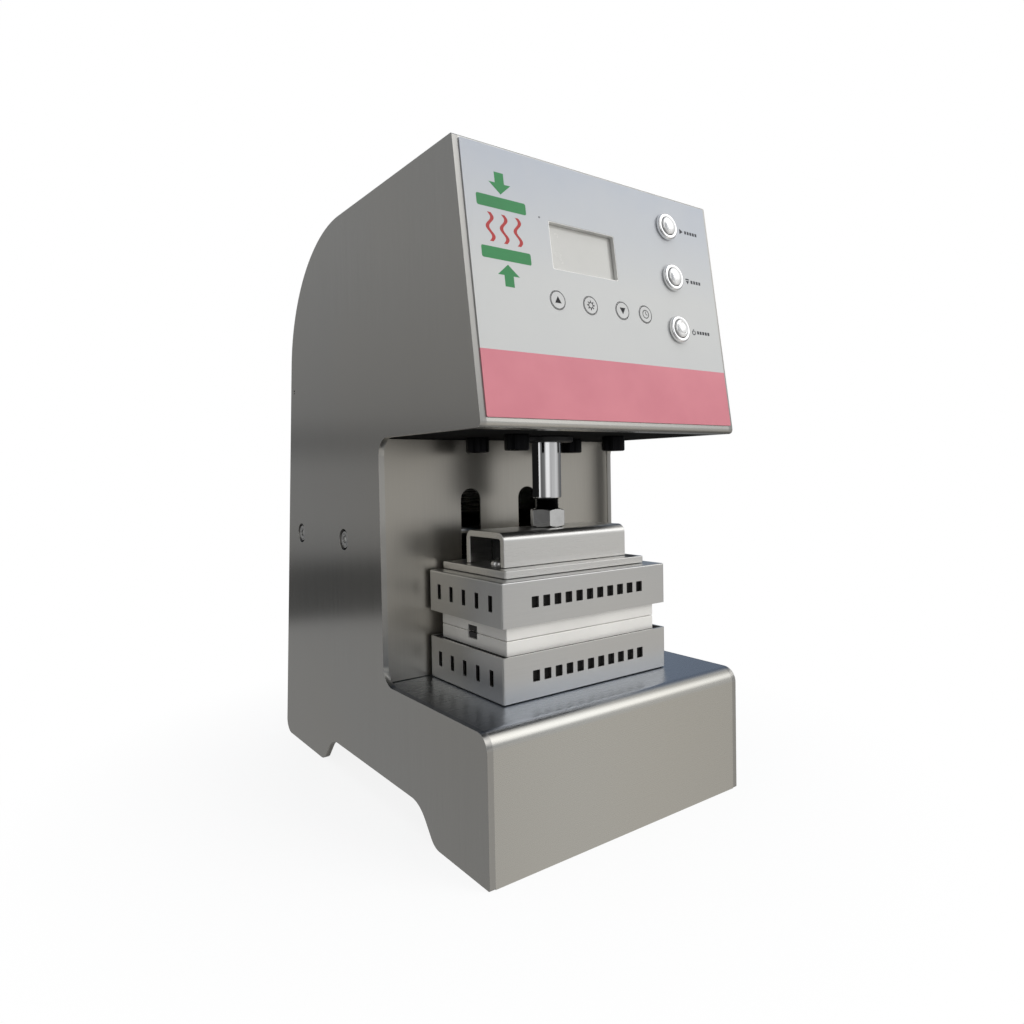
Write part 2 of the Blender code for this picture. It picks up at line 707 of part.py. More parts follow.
def panel_overlay():
    low = (-BODY_WIDTH / 2 + SIDE_T, -PANEL_LENGTH + OVERLAY_FOOT, GAP)
    high = (BODY_WIDTH / 2 - SIDE_T, -OVERLAY_MARGIN, OVERLAY_TOP)
    overlay = under(PANEL_FRAME, box("panel_overlay", low, high, PRINT))
    cut_panel_holes(overlay, -OVERCUT, OVERLAY_TOP + OVERCUT)


def display_lens():
    top = -SHEET_T - GAP
    low = (WINDOW_X[0] - LENS_LAP, -WINDOW_S[1] - LENS_LAP, top - LENS_T)
    high = (WINDOW_X[1] + LENS_LAP, -WINDOW_S[0] + LENS_LAP, top)
    under(PANEL_FRAME, box("display_lens", low, high, CLEAR))


def control_board():
    board_top = -BOARD_BEHIND
    x_low = min(WINDOW_X[0], KEY_XS[0] - KEY_R) - BOARD_MARGIN
    x_high = max(WINDOW_X[1], KEY_XS[-1] + KEY_R) + BOARD_MARGIN
    y_low = -KEY_S - KEY_R - BOARD_MARGIN
    y_high = -WINDOW_S[0] + BOARD_MARGIN
    board = under(PANEL_FRAME, box(
        "control_board", (x_low, y_low, board_top - BOARD_T), (x_high, y_high, board_top), BOARD_GREEN
    ))
    into = board_top - BOARD_T / 2
    lens_back = -SHEET_T - 2 * GAP - LENS_T
    add_box(board, (WINDOW_X[0] + DISPLAY_INSET, -WINDOW_S[1] + DISPLAY_INSET, into),
            (WINDOW_X[1] - DISPLAY_INSET, -WINDOW_S[0] - DISPLAY_INSET, lens_back), PANEL_FRAME)
    switch_top = KEY_STEM_END - KEY_TRAVEL - GAP
    for x in KEY_XS:
        add_box(board, (x - SWITCH_BODY_R, -KEY_S - SWITCH_BODY_R, into),
                (x + SWITCH_BODY_R, -KEY_S + SWITCH_BODY_R, switch_top), PANEL_FRAME)
    inset = 2 * BOARD_POST_R
    length = -SHEET_T - GAP - into
    for x in (x_low + inset, x_high - inset):
        for y in (y_low + inset, y_high - inset):
            add_round(board, BOARD_POST_R, (x, y, into), length, PANEL_FRAME, sides=POST_ROUND)


def keys():
    top = OVERLAY_TOP + KEY_PROUD
    flange_r = KEY_HOLE_R + KEY_FLANGE_LAP
    flange_low = KEY_FLANGE_TOP - KEY_FLANGE
    for name, x in zip(("key_up", "key_set", "key_down", "key_timer"), KEY_XS):
        key = turned(name, [
            (0, top),
            (KEY_R - KEY_EDGE, top),
            (KEY_R, top - KEY_EDGE),
            (KEY_R, KEY_FLANGE_TOP),
            (flange_r, KEY_FLANGE_TOP),
            (flange_r, flange_low),
            (KEY_STEM_R, flange_low),
            (KEY_STEM_R, KEY_STEM_END),
            (0, KEY_STEM_END),
        ], PRINT, sides=SMALL_ROUND)
        under(PANEL_FRAME, key).location = (x, -KEY_S, 0)


def push_buttons():
    seat = OVERLAY_TOP + GAP
    rim = seat + BEZEL_T
    floor = -BUTTON_DEPTH + BUTTON_FLOOR_T
    bore = BUTTON_CAP_R + RUN
    for name, s in zip(("start", "release", "power"), BUTTON_SS):
        housing = turned(f"button_{name}_housing", [
            (0, floor),
            (bore, floor),
            (bore, rim - BEZEL_MOUTH),
            (bore + BEZEL_MOUTH, rim),
            (BEZEL_R - BEZEL_EDGE * 3 / 4, rim),
            (BEZEL_R - BEZEL_EDGE / 6, rim - BEZEL_EDGE / 2),
            (BEZEL_R, rim - BEZEL_EDGE),
            (BEZEL_R, seat),
            (BUTTON_BARREL_R, seat),
            (BUTTON_BARREL_R, -BUTTON_DEPTH),
            (0, -BUTTON_DEPTH),
        ], CHROME, sides=SMALL_ROUND)
        under(PANEL_FRAME, housing).location = (BUTTON_X, -s, 0)
        edge = rim + BUTTON_PROUD
        dome = [
            (BUTTON_CAP_R * math.sin(t), edge + BUTTON_DOME * math.cos(t))
            for t in (math.radians(22.5 * k) for k in range(5))
        ]
        skirt = edge - BUTTON_CAP_SKIRT
        foot = floor + BUTTON_TRAVEL + GAP
        cap = turned(f"button_{name}_cap", dome + [
            (BUTTON_CAP_R, skirt),
            (BUTTON_STEM_R, skirt),
            (BUTTON_STEM_R, foot),
            (0, foot),
        ], CHROME, sides=SMALL_ROUND)
        under(PANEL_FRAME, cap).location = (BUTTON_X, -s, 0)


# ---------------------------------------------------------------- cylinder and ram


def mount_bolt_places():
    return [(x, y) for y in (-MOUNT_BOLT_Y, MOUNT_BOLT_Y) for x in (-MOUNT_BOLT_X, MOUNT_BOLT_X)]


def cylinder_body():
    half = (CAP_HALF_X, CAP_HALF_Y)
    front = box("cylinder_front_cap", (-half[0], -half[1], CAP_Z),
                (half[0], half[1], CAP_Z + CAP_T), ALUMINIUM)
    under(STACK_FRAME, front)
    low = CAP_Z - OVERCUT
    cut_round(front, GLAND_R + RUN, (0, 0, low), CAP_T + 2 * OVERCUT, STACK_FRAME)
    for x, y in mount_bolt_places():
        depth = CAP_T - MOUNT_BOLT_END + 2 * OVERCUT
        cut_round(front, MOUNT_BOLT_R + RUN, (x, y, low), depth, STACK_FRAME, sides=SMALL_ROUND)
    rear = box("cylinder_rear_cap", (-half[0], -half[1], REAR_CAP_Z),
               (half[0], half[1], REAR_CAP_Z + CAP_T), ALUMINIUM)
    under(STACK_FRAME, rear)
    outer = CYL_BORE_R + CYL_WALL
    barrel = turned("cylinder_barrel", [
        (outer, BARREL_Z + BARREL_LENGTH),
        (outer, BARREL_Z),
        (CYL_BORE_R, BARREL_Z),
        (CYL_BORE_R, BARREL_Z + BARREL_LENGTH),
    ], ALUMINIUM, closed=True)
    under(STACK_FRAME, barrel)


def rod_gland():
    bore = ROD_R + RUN
    shoulder = HEAD_Z - GAP
    gland = turned("rod_gland", [
        (bore, CAP_Z + CAP_T),
        (GLAND_R, CAP_Z + CAP_T),
        (GLAND_R, shoulder),
        (GLAND_FLANGE_R, shoulder),
        (GLAND_FLANGE_R, shoulder - GLAND_FLANGE_T),
        (bore, shoulder - GLAND_FLANGE_T),
    ], BLACK_PLASTIC, closed=True)
    under(STACK_FRAME, gland)


def mount_bolts():
    length = HEAD_PLATE_T + CAP_T - MOUNT_BOLT_END
    for number, (x, y) in enumerate(mount_bolt_places(), start=1):
        bolt = socket_bolt(
            f"cylinder_bolt_{number}", MOUNT_HEAD_R, MOUNT_HEAD_T, MOUNT_BOLT_R, length, BLACK_STEEL
        )
        under(STACK_FRAME, bolt)
        bolt.location = (x, y, HEAD_Z - GAP)
        bolt.rotation_euler = (math.pi, 0, 0)


def ram_rod():
    piston_r = CYL_BORE_R - PISTON_LAND
    groove_r = piston_r - SEAL_DEPTH
    middle = PISTON_Z + PISTON_T / 2
    pin_hole = PISTON_PIN_R + RUN
    piston = turned("piston", [
        (pin_hole, PISTON_Z + PISTON_T),
        (piston_r, PISTON_Z + PISTON_T),
        (piston_r, middle + SEAL_T / 2 + GAP),
        (groove_r, middle + SEAL_T / 2 + GAP),
        (groove_r, middle - SEAL_T / 2 - GAP),
        (piston_r, middle - SEAL_T / 2 - GAP),
        (piston_r, PISTON_Z),
        (pin_hole, PISTON_Z),
    ], ALUMINIUM, closed=True)
    under(STACK_FRAME, piston)
    seal_r = CYL_BORE_R - RUN
    seal = turned("piston_seal", [
        (seal_r, middle + SEAL_T / 2),
        (seal_r, middle - SEAL_T / 2),
        (groove_r + GAP, middle - SEAL_T / 2),
        (groove_r + GAP, middle + SEAL_T / 2),
    ], RUBBER, closed=True)
    under(STACK_FRAME, seal)
    rod = turned("piston_rod", [
        (0, PISTON_Z + PISTON_T + ROD_PAST_PISTON),
        (PISTON_PIN_R, PISTON_Z + PISTON_T + ROD_PAST_PISTON),
        (PISTON_PIN_R, PISTON_Z - GAP),
        (ROD_R, PISTON_Z - GAP),
        (ROD_R, NECK_TOP + ROD_CHAMFER),
        (ROD_R - ROD_CHAMFER, NECK_TOP),
        (ROD_NECK_R, NECK_TOP),
        (ROD_NECK_R, LOCK_NUT_Z - ROD_PAST_NUT),
        (ROD_NECK_R - ROD_CHAMFER, LOCK_NUT_Z - ROD_PAST_NUT - ROD_CHAMFER),
        (0, LOCK_NUT_Z - ROD_PAST_NUT - ROD_CHAMFER),
    ], CHROME)
    under(STACK_FRAME, rod)


def hex_nut(name, z, thickness, material):
    """A nut whose corners are chamfered on both faces."""
    nut = cylinder(name, NUT_R, (0, 0, z), thickness, material, sides=6)
    under(STACK_FRAME, nut)
    inner = NUT_R * math.cos(math.pi / 6) * (1 - NUT_CHAMFER)
    outer = NUT_R * (1 + NUT_CHAMFER)
    drop = (outer - inner) * NUT_CHAMFER_SLOPE
    chamfer = turned(name + "_chamfer", [
        (0, z + thickness),
        (inner, z + thickness),
        (outer, z + thickness - drop),
        (outer, z + drop),
        (inner, z),
        (0, z),
    ], sides=ROUND, cutter=True)
    chamfer.parent = STACK_FRAME
    boolean(nut, chamfer, "INTERSECT")
    cut_round(nut, ROD_NECK_R + RUN, (0, 0, z - OVERCUT), thickness + 2 * OVERCUT, STACK_FRAME)


def channel_bracket():
    half = BRACKET_HALF_Y
    inner = half - BRACKET_WALL
    inner_radius = BRACKET_RADIUS - BRACKET_WALL
    top = BRACKET_TOP
    outline = rounded([
        (-half, BRACKET_Z, 0),
        (-inner, BRACKET_Z, 0),
        (-inner, top - BRACKET_WALL, inner_radius),
        (inner, top - BRACKET_WALL, inner_radius),
        (inner, BRACKET_Z, 0),
        (half, BRACKET_Z, 0),
        (half, top, BRACKET_RADIUS),
        (-half, top, BRACKET_RADIUS),
    ])
    bracket = prism("channel_bracket", outline, -BRACKET_HALF_X, BRACKET_HALF_X, STEEL)
    under(STACK_FRAME, bracket)
    start = (0, 0, top - BRACKET_WALL - OVERCUT)
    cut_round(bracket, ROD_NECK_R + RUN, start, BRACKET_WALL + 2 * OVERCUT, STACK_FRAME)


def mount_plate():
    low = (-MOUNT_PLATE_HALF_X, MOUNT_PLATE_Y[0], MOUNT_PLATE_Z)
    high = (MOUNT_PLATE_HALF_X, MOUNT_PLATE_Y[1], MOUNT_PLATE_Z + MOUNT_PLATE_T)
    plate = under(STACK_FRAME, box("upper_mount_plate", low, high, STEEL))
    soften(plate, MOUNT_PLATE_EDGE)


def cage(name, z_low, height, open_up):
    """A slotted sheet box around a platen, open on one side."""
    low = (-CAGE_HALF_X, -CAGE_HALF_Y, z_low)
    high = (CAGE_HALF_X, CAGE_HALF_Y, z_low + height)
    shell = under(STACK_FRAME, box(name, low, high, STEEL))
    soften(shell, CAGE_BEND, 3)
    floor = z_low + CAGE_T if open_up else z_low - OVERCUT
    ceiling = z_low + height + OVERCUT if open_up else z_low + height - CAGE_T
    inner_x = CAGE_HALF_X - CAGE_T
    inner_y = CAGE_HALF_Y - CAGE_T
    cut_box(shell, (-inner_x, -inner_y, floor), (inner_x, inner_y, ceiling), STACK_FRAME)
    middle = z_low + height / 2
    across = CAGE_HALF_X + OVERCUT
    face = -CAGE_HALF_Y
    for k in range(VENT_COUNT):
        y = (k - (VENT_COUNT - 1) / 2) * VENT_PITCH
        cut_box(shell, (-across, y - VENT_WIDTH / 2, middle - VENT_HEIGHT / 2),
                (across, y + VENT_WIDTH / 2, middle + VENT_HEIGHT / 2), STACK_FRAME)
    for k in range(FRONT_VENT_COUNT):
        x = (k - (FRONT_VENT_COUNT - 1) / 2) * FRONT_VENT_PITCH
        low = (x - FRONT_VENT_WIDTH / 2, face - OVERCUT, middle - FRONT_VENT_HEIGHT / 2)
        high = (x + FRONT_VENT_WIDTH / 2, face + CAGE_T + OVERCUT, middle + FRONT_VENT_HEIGHT / 2)
        cut_box(shell, low, high, STACK_FRAME)


def insulator(name, z):
    low = (-INSULATOR_HALF_X, -INSULATOR_HALF_Y, z)
    high = (INSULATOR_HALF_X, INSULATOR_HALF_Y, z + INSULATOR_T)
    under(STACK_FRAME, box(name, low, high, MICA))


def platen(name, z, faces_up):
    """A heated plate: two cartridge bores along X, and a probe notch in its left end at the pressing face."""
    low = (-PLATEN_HALF_X, -PLATEN_HALF_Y, z)
    high = (PLATEN_HALF_X, PLATEN_HALF_Y, z + PLATEN_T)
    plate = under(STACK_FRAME, box(f"{name}_platen", low, high, ALUMINIUM))
    soften(plate, PLATEN_EDGE)
    face = z + PLATEN_T if faces_up else z
    inward = -1 if faces_up else 1
    notch = sorted((face + inward * NOTCH_HEIGHT, face - inward * OVERCUT))
    cut_box(plate, (-PLATEN_HALF_X - OVERCUT, -NOTCH_WIDTH / 2, notch[0]),
            (-PLATEN_HALF_X + NOTCH_DEPTH, NOTCH_WIDTH / 2, notch[1]), STACK_FRAME)
    bore_z = face + inward * PLATEN_T * HEATER_FROM_FACE
    for side, sign in (("front", -1), ("rear", 1)):
        y = sign * HEATER_HALF_SPACING
        start = (-PLATEN_HALF_X - OVERCUT, y, bore_z)
        length = 2 * (PLATEN_HALF_X + OVERCUT)
        cut_round(plate, HEATER_R + RUN, start, length, STACK_FRAME, axis="X", sides=SMALL_ROUND)
        heater = cylinder(
            f"{name}_heater_{side}",
            HEATER_R,
            (-PLATEN_HALF_X + HEATER_INSET, y, bore_z),
            2 * (PLATEN_HALF_X - HEATER_INSET),
            CHROME,
            sides=SMALL_ROUND,
            axis="X",
            smooth=True,
        )
        under(STACK_FRAME, heater)


def platen_stack():
    cage("lower_cage", LOWER_CAGE_Z, CAGE_HEIGHT, True)
    insulator("lower_insulator", LOWER_INSULATOR_Z)
    platen("lower", LOWER_PLATEN_Z, True)
    platen("upper", UPPER_PLATEN_Z, False)
    insulator("upper_insulator", UPPER_INSULATOR_Z)
    cage("upper_cage", UPPER_CAGE_Z, UPPER_CAGE_HEIGHT, False)
    mount_plate()
    channel_bracket()
    hex_nut("rod_jam_nut", JAM_NUT_Z, JAM_NUT_T, STEEL)
    hex_nut("rod_lock_nut", LOCK_NUT_Z, LOCK_NUT_T, STEEL)


# ---------------------------------------------------------------- rear connections


def flanged_socket(name, u, flange, body, cavity, depth, cavity_depth):
    """A snap-in housing: a flange outside the back, a body through it and a cavity open at the back."""
    v = REAR_ROW_V
    top = GAP + FLANGE_T
    housing = under(BACK_FRAME, box(
        name, (u - flange[0], v - flange[1], GAP), (u + flange[0], v + flange[1], top), BLACK_PLASTIC
    ))
    soften(housing, FLANGE_EDGE)
    add_box(housing, (u - body[0], v - body[1], -depth), (u + body[0], v + body[1], GAP + FUSE), BACK_FRAME)
    cut_box(housing, (u - cavity[0], v - cavity[1], top - cavity_depth),
            (u + cavity[0], v + cavity[1], top + OVERCUT), BACK_FRAME)


def power_switch():
    flanged_socket("power_switch_frame", SWITCH_U, SWITCH_HALF, SWITCH_BODY_HALF,
                   SWITCH_CAVITY_HALF, SWITCH_DEPTH, SWITCH_CAVITY)
    half_x, half_y = ROCKER_HALF
    outline = [
        (-half_y, ROCKER_CREST),
        (0, ROCKER_WAIST),
        (half_y, ROCKER_CREST),
        (half_y * 0.95, -ROCKER_SKIRT),
        (half_y * 0.4, -ROCKER_KEEL),
        (-half_y * 0.4, -ROCKER_KEEL),
        (-half_y * 0.95, -ROCKER_SKIRT),
    ]
    rocker = under(BACK_FRAME, prism("power_switch_rocker", outline, -half_x, half_x, BLACK_PLASTIC))
    soften(rocker, ROCKER_EDGE, 1)
    rocker.location = (SWITCH_U, REAR_ROW_V, 0)
    rocker.rotation_euler = (ROCKER_TILT, 0, 0)


def air_nipple():
    """A hose coupler's plug, with a hexagon that seats on the back."""
    nipple = cylinder("air_nipple", NIPPLE_HEX_R, (NIPPLE_U, NIPPLE_V, GAP), NIPPLE_HEX_T, BRASS, sides=6)
    under(BACK_FRAME, nipple)
    start = (NIPPLE_U, NIPPLE_V, -NIPPLE_THREAD)
    add_round(nipple, NIPPLE_THREAD_R, start, NIPPLE_THREAD + GAP + FUSE, BACK_FRAME)
    groove = NIPPLE_LENGTH - NIPPLE_TIP
    collar = NIPPLE_HEX_T - FUSE + NIPPLE_COLLAR
    plug = turned("air_nipple_plug", [
        (0, NIPPLE_LENGTH),
        (NIPPLE_R - NIPPLE_STEP, NIPPLE_LENGTH),
        (NIPPLE_R, NIPPLE_LENGTH - NIPPLE_STEP),
        (NIPPLE_R, groove),
        (NIPPLE_R - NIPPLE_STEP, groove - NIPPLE_GROOVE / 2),
        (NIPPLE_R - NIPPLE_STEP, groove - NIPPLE_GROOVE),
        (NIPPLE_R + NIPPLE_STEP, collar),
        (NIPPLE_R + NIPPLE_STEP, NIPPLE_HEX_T - FUSE),
        (0, NIPPLE_HEX_T - FUSE),
    ], sides=SMALL_ROUND, cutter=True)
    plug.parent = BACK_FRAME
    plug.location = (NIPPLE_U, NIPPLE_V, 0)
    boolean(nipple, plug, "UNION")


# ---------------------------------------------------------------- parts on the bottom plate


def placed_on_bottom(name, size, x, y, material):
    low = (x - size[0] / 2, y - size[1] / 2, BOTTOM_TOP_Z + GAP)
    high = (x + size[0] / 2, y + size[1] / 2, BOTTOM_TOP_Z + GAP + size[2])
    obj = under(BODY_FRAME, box(name, low, high, material))
    return soften(obj, CASE_EDGE, 1)


def inner_parts():
    supply = placed_on_bottom("power_supply", SUPPLY_SIZE, 0, SUPPLY_Y, ALUMINIUM)
    low_z = BOTTOM_TOP_Z + GAP
    end = SUPPLY_SIZE[1] / 2 + SUPPLY_Y
    cut_box(supply, (-TERMINAL_HALF_X, end - TERMINAL_DEPTH, low_z + TERMINAL_Z),
            (TERMINAL_HALF_X, end + OVERCUT, low_z + SUPPLY_SIZE[2] + OVERCUT), BODY_FRAME)
    for side, sign in (("lower", -1), ("upper", 1)):
        relay = placed_on_bottom(f"heater_relay_{side}", RELAY_SIZE, sign * RELAY_X, RELAY_Y, BLACK_PLASTIC)
        x = sign * RELAY_X
        for y in (RELAY_Y - RELAY_SIZE[1] / 2, RELAY_Y + RELAY_SIZE[1] / 2):
            low = (x - RELAY_TERMINAL_HALF_X, y - RELAY_TERMINAL_DEPTH, low_z + RELAY_TERMINAL_Z)
            high = (x + RELAY_TERMINAL_HALF_X, y + RELAY_TERMINAL_DEPTH, low_z + RELAY_SIZE[2] + OVERCUT)
            cut_box(relay, low, high, BODY_FRAME)
    valve = placed_on_bottom("solenoid_valve", VALVE_SIZE, 0, VALVE_Y, ALUMINIUM)
    coil_x = VALVE_SIZE[0] / 2 - FUSE
    add_box(valve, (coil_x, VALVE_Y - COIL_HALF_Y, low_z + COIL_Z[0]),
            (coil_x + COIL_LENGTH, VALVE_Y + COIL_HALF_Y, low_z + COIL_Z[1]), BODY_FRAME)


# ---------------------------------------------------------------- assembly

side_plates()
base_cover()
throat_wall()
control_panel()
top_back_cover()
bottom_plate()
head_plate()
cross_bars()
side_bolts()
panel_overlay()
display_lens()
control_board()
keys()
push_buttons()
cylinder_body()
rod_gland()
mount_bolts()
ram_rod()
platen_stack()
flanged_socket("power_inlet", INLET_U, INLET_HALF, INLET_BODY_HALF,
               INLET_CAVITY_HALF, INLET_DEPTH, INLET_CAVITY)
power_switch()
air_nipple()
inner_parts()
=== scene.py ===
"""The looks of a benchtop heated-plate press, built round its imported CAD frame. Metres, Z up, front to -Y."""

import json
from math import acos, atan, atan2, ceil, cos, degrees, hypot, pi, radians, sin, sqrt, tan

import bmesh
import bpy
from mathutils import Matrix, Vector


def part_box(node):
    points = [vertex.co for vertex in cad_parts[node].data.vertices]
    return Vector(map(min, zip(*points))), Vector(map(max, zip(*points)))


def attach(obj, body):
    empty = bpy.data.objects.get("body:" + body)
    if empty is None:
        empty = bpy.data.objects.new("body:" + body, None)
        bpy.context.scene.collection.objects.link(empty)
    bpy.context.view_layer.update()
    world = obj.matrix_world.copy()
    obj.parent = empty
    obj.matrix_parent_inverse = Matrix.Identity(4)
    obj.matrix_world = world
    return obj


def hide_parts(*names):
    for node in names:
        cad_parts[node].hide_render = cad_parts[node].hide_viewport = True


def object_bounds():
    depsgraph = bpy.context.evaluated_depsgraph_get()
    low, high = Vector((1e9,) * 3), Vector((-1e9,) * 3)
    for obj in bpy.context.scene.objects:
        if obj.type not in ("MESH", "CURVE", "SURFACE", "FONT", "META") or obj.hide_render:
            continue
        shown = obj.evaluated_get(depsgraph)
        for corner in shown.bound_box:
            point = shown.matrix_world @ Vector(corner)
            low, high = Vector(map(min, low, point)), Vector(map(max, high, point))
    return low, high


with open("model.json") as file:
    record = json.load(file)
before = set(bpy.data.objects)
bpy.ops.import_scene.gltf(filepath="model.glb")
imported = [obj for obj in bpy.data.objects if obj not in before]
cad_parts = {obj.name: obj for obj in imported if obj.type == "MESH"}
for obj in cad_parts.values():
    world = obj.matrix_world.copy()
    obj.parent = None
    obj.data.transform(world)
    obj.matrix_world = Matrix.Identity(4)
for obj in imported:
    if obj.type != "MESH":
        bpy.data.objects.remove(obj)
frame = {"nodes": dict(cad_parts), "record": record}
NODES = frame["nodes"]
CAD_LOW, CAD_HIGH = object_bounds()
FRONT_Y = CAD_LOW.y
BODY_OF = {n: body for body, names in frame["record"]["behaviour"]["bodies"].items() for n in names}

# The body's profile, y measured back from its front
SHEET_T = 0.002
SEAM = 0.00002                  # what is left of a ground weld between two sheets
PLATE_INNER_X = 0.101           # the inner faces of the two side plates
SHEET_HALF = PLATE_INNER_X - SEAM
BODY_HEIGHT = 0.410
BODY_DEPTH = 0.318
DECK_Z, HEAD_Z = 0.084, 0.248
THROAT_DEPTH = 0.123
TOP_SETBACK = 0.0238
PANEL_FLANGE = 0.014
BACK_LEAN = radians(6.27)
HEEL_RADIUS = 0.010
HEEL_Y = BODY_DEPTH - HEEL_RADIUS + HEEL_RADIUS / cos(BACK_LEAN) + HEEL_RADIUS * tan(BACK_LEAN)
BACK_ARC_RADIUS = 0.105
ARCH_Z = 0.021
ARCH_RUN = ARCH_Z / tan(radians(50.0))
FRONT_FOOT, REAR_FOOT = 0.0588, 0.0851
PANEL_LEAN = atan2(TOP_SETBACK, BODY_HEIGHT - HEAD_Z)
PANEL = (Matrix.Translation((0, FRONT_Y + TOP_SETBACK, BODY_HEIGHT))
         @ Matrix.Rotation(pi / 2 - PANEL_LEAN, 4, "X"))
BACK = (Matrix.Translation((0, FRONT_Y + HEEL_Y, 0)) @ Matrix.Rotation(pi, 4, "Z")
        @ Matrix.Rotation(pi / 2 - BACK_LEAN, 4, "X"))
QUARTER = Matrix.Rotation(pi / 2, 4, "Y")     # turns a lathe shape to lie along X

# The panel's openings, x across and s down from its top edge
WINDOW_X, WINDOW_S = (-0.0435, 0.0095), (0.0386, 0.0683)
KEY_XS, KEY_S = (-0.0428, -0.0172, 0.0095, 0.0300), 0.0872
BUTTON_X, BUTTON_SS = 0.0601, (0.0231, 0.0586, 0.0943)
PANEL_LENGTH = hypot(TOP_SETBACK, BODY_HEIGHT - HEAD_Z)
OVERLAY_TOP = 0.0008
RED_BAND = (0.1208, 0.1594)
INK_T = 0.00003

# The back sheet's fittings, u across and v up, and how far their flanges stand out
REAR_V, INLET_U, SWITCH_U, NIPPLE = 0.070, 0.040, 0.002, (-0.040, 0.140)
REAR_TOP = 0.0023

# The side plates' bolts and edge screws
BOLT_Z = 0.177
BOLT_HOLE_R = 0.0078
EDGE_SCREW = (0.2797 + FRONT_Y, 0.2934)

# The ram and the platens
HEAD_UNDER = 0.2477             # where the gland and bolts seat, 0.3 mm under the head plate
THREAD_PITCH = 0.0010
NOTCH_HALF = 0.00535            # half the width of the sensor's notch

# Modelling tolerances
ARC_ERROR = 0.000008            # how far an arc's straight steps may stray from it
WELD = 0.000002                 # points closer than this are one


def back_y(z):
    """How far behind the front the back sheet is at a height."""
    return HEEL_Y - z * tan(BACK_LEAN)


BOLT_YS = {"front": THROAT_DEPTH + 0.061 + FRONT_Y, "rear": back_y(BOLT_Z) - 0.0294 + FRONT_Y}


# ---------------------------------------------------------------- shader nodes


def node(tree, kind, inputs=None, **settings):
    made = tree.nodes.new("ShaderNode" + kind)
    for key, value in settings.items():
        setattr(made, key, value)
    for key, value in (inputs or {}).items():
        if isinstance(value, bpy.types.NodeSocket):
            tree.links.new(value, made.inputs[key])
        else:
            made.inputs[key].default_value = value
    return made


def place(tree, stretch=(1, 1, 1)):
    """The piece's own coordinates, scaled along each axis."""
    own = node(tree, "TexCoord").outputs["Object"]
    return node(tree, "Mapping", {"Vector": own, "Scale": stretch}).outputs["Vector"]


def noise(tree, scale, stretch=(1, 1, 1), detail=4.0, roughness=0.55):
    found = {"Vector": place(tree, stretch), "Scale": scale, "Detail": detail, "Roughness": roughness}
    return node(tree, "TexNoise", found).outputs["Fac"]


def remap(tree, value, low, high, out_low, out_high):
    found = {"Value": value, "From Min": low, "From Max": high, "To Min": out_low, "To Max": out_high}
    return node(tree, "MapRange", found).outputs["Result"]


def maths(tree, operation, a, b=0.0):
    return node(tree, "Math", {0: a, 1: b}, operation=operation).outputs[0]


def mix(tree, factor, a, b, **settings):
    a, b = ((*v, 1.0) if isinstance(v, tuple) else v for v in (a, b))
    return node(tree, "Mix", {0: factor, 6: a, 7: b}, data_type="RGBA", **settings).outputs[2]


def blend(tree, value, low, high, a, b):
    """From a to b as the value goes from low to high."""
    return mix(tree, remap(tree, value, low, high, 0.0, 1.0), a, b)


def scaled(colour, by, lift=0.0):
    return tuple(min(1.0, c * by + lift) for c in colour)


def axis_of(tree, vector, axis):
    return node(tree, "SeparateXYZ", {"Vector": vector}).outputs[axis]


def true_normal(tree):
    return node(tree, "NewGeometry").outputs["Normal"]


def bump(tree, height, distance, strength=1.0, normal=None):
    found = {"Height": height, "Distance": distance, "Strength": strength}
    if normal:
        found["Normal"] = normal
    return node(tree, "Bump", found).outputs["Normal"]


def shader(name, **values):
    """A material, its tree and its main shader, with plain values set on the shader's own sockets."""
    material = bpy.data.materials.new(name)
    material.use_nodes = True
    tree = material.node_tree
    principled = tree.nodes["Principled BSDF"]
    for key, value in values.items():
        socket = principled.inputs[key.replace("_", " ")]
        socket.default_value = (*value, 1.0) if isinstance(value, tuple) else value
    return material, tree, principled


def feed(tree, principled, **sockets):
    for key, value in sockets.items():
        tree.links.new(value, principled.inputs[key.replace("_", " ")])


def finish(material, principled, colour, roughness, normal):
    feed(material.node_tree, principled, Base_Color=colour, Roughness=roughness, Normal=normal)
    return material


def rubbed(tree, base, bright, amount):
    """Brighter where an edge has been rubbed: there a rounded normal leaves the true one."""
    soft = node(tree, "Bevel", {"Radius": 0.0006}, samples=4).outputs["Normal"]
    both = {0: soft, 1: true_normal(tree)}
    match = node(tree, "VectorMath", both, operation="DOT_PRODUCT").outputs["Value"]
    edge = remap(tree, match, 0.99, 0.80, 0.0, 1.0)
    patchy = remap(tree, noise(tree, 160.0), 0.35, 0.65, 0.35, 1.0)
    return mix(tree, maths(tree, "MULTIPLY", maths(tree, "MULTIPLY", edge, patchy), amount), base, bright)


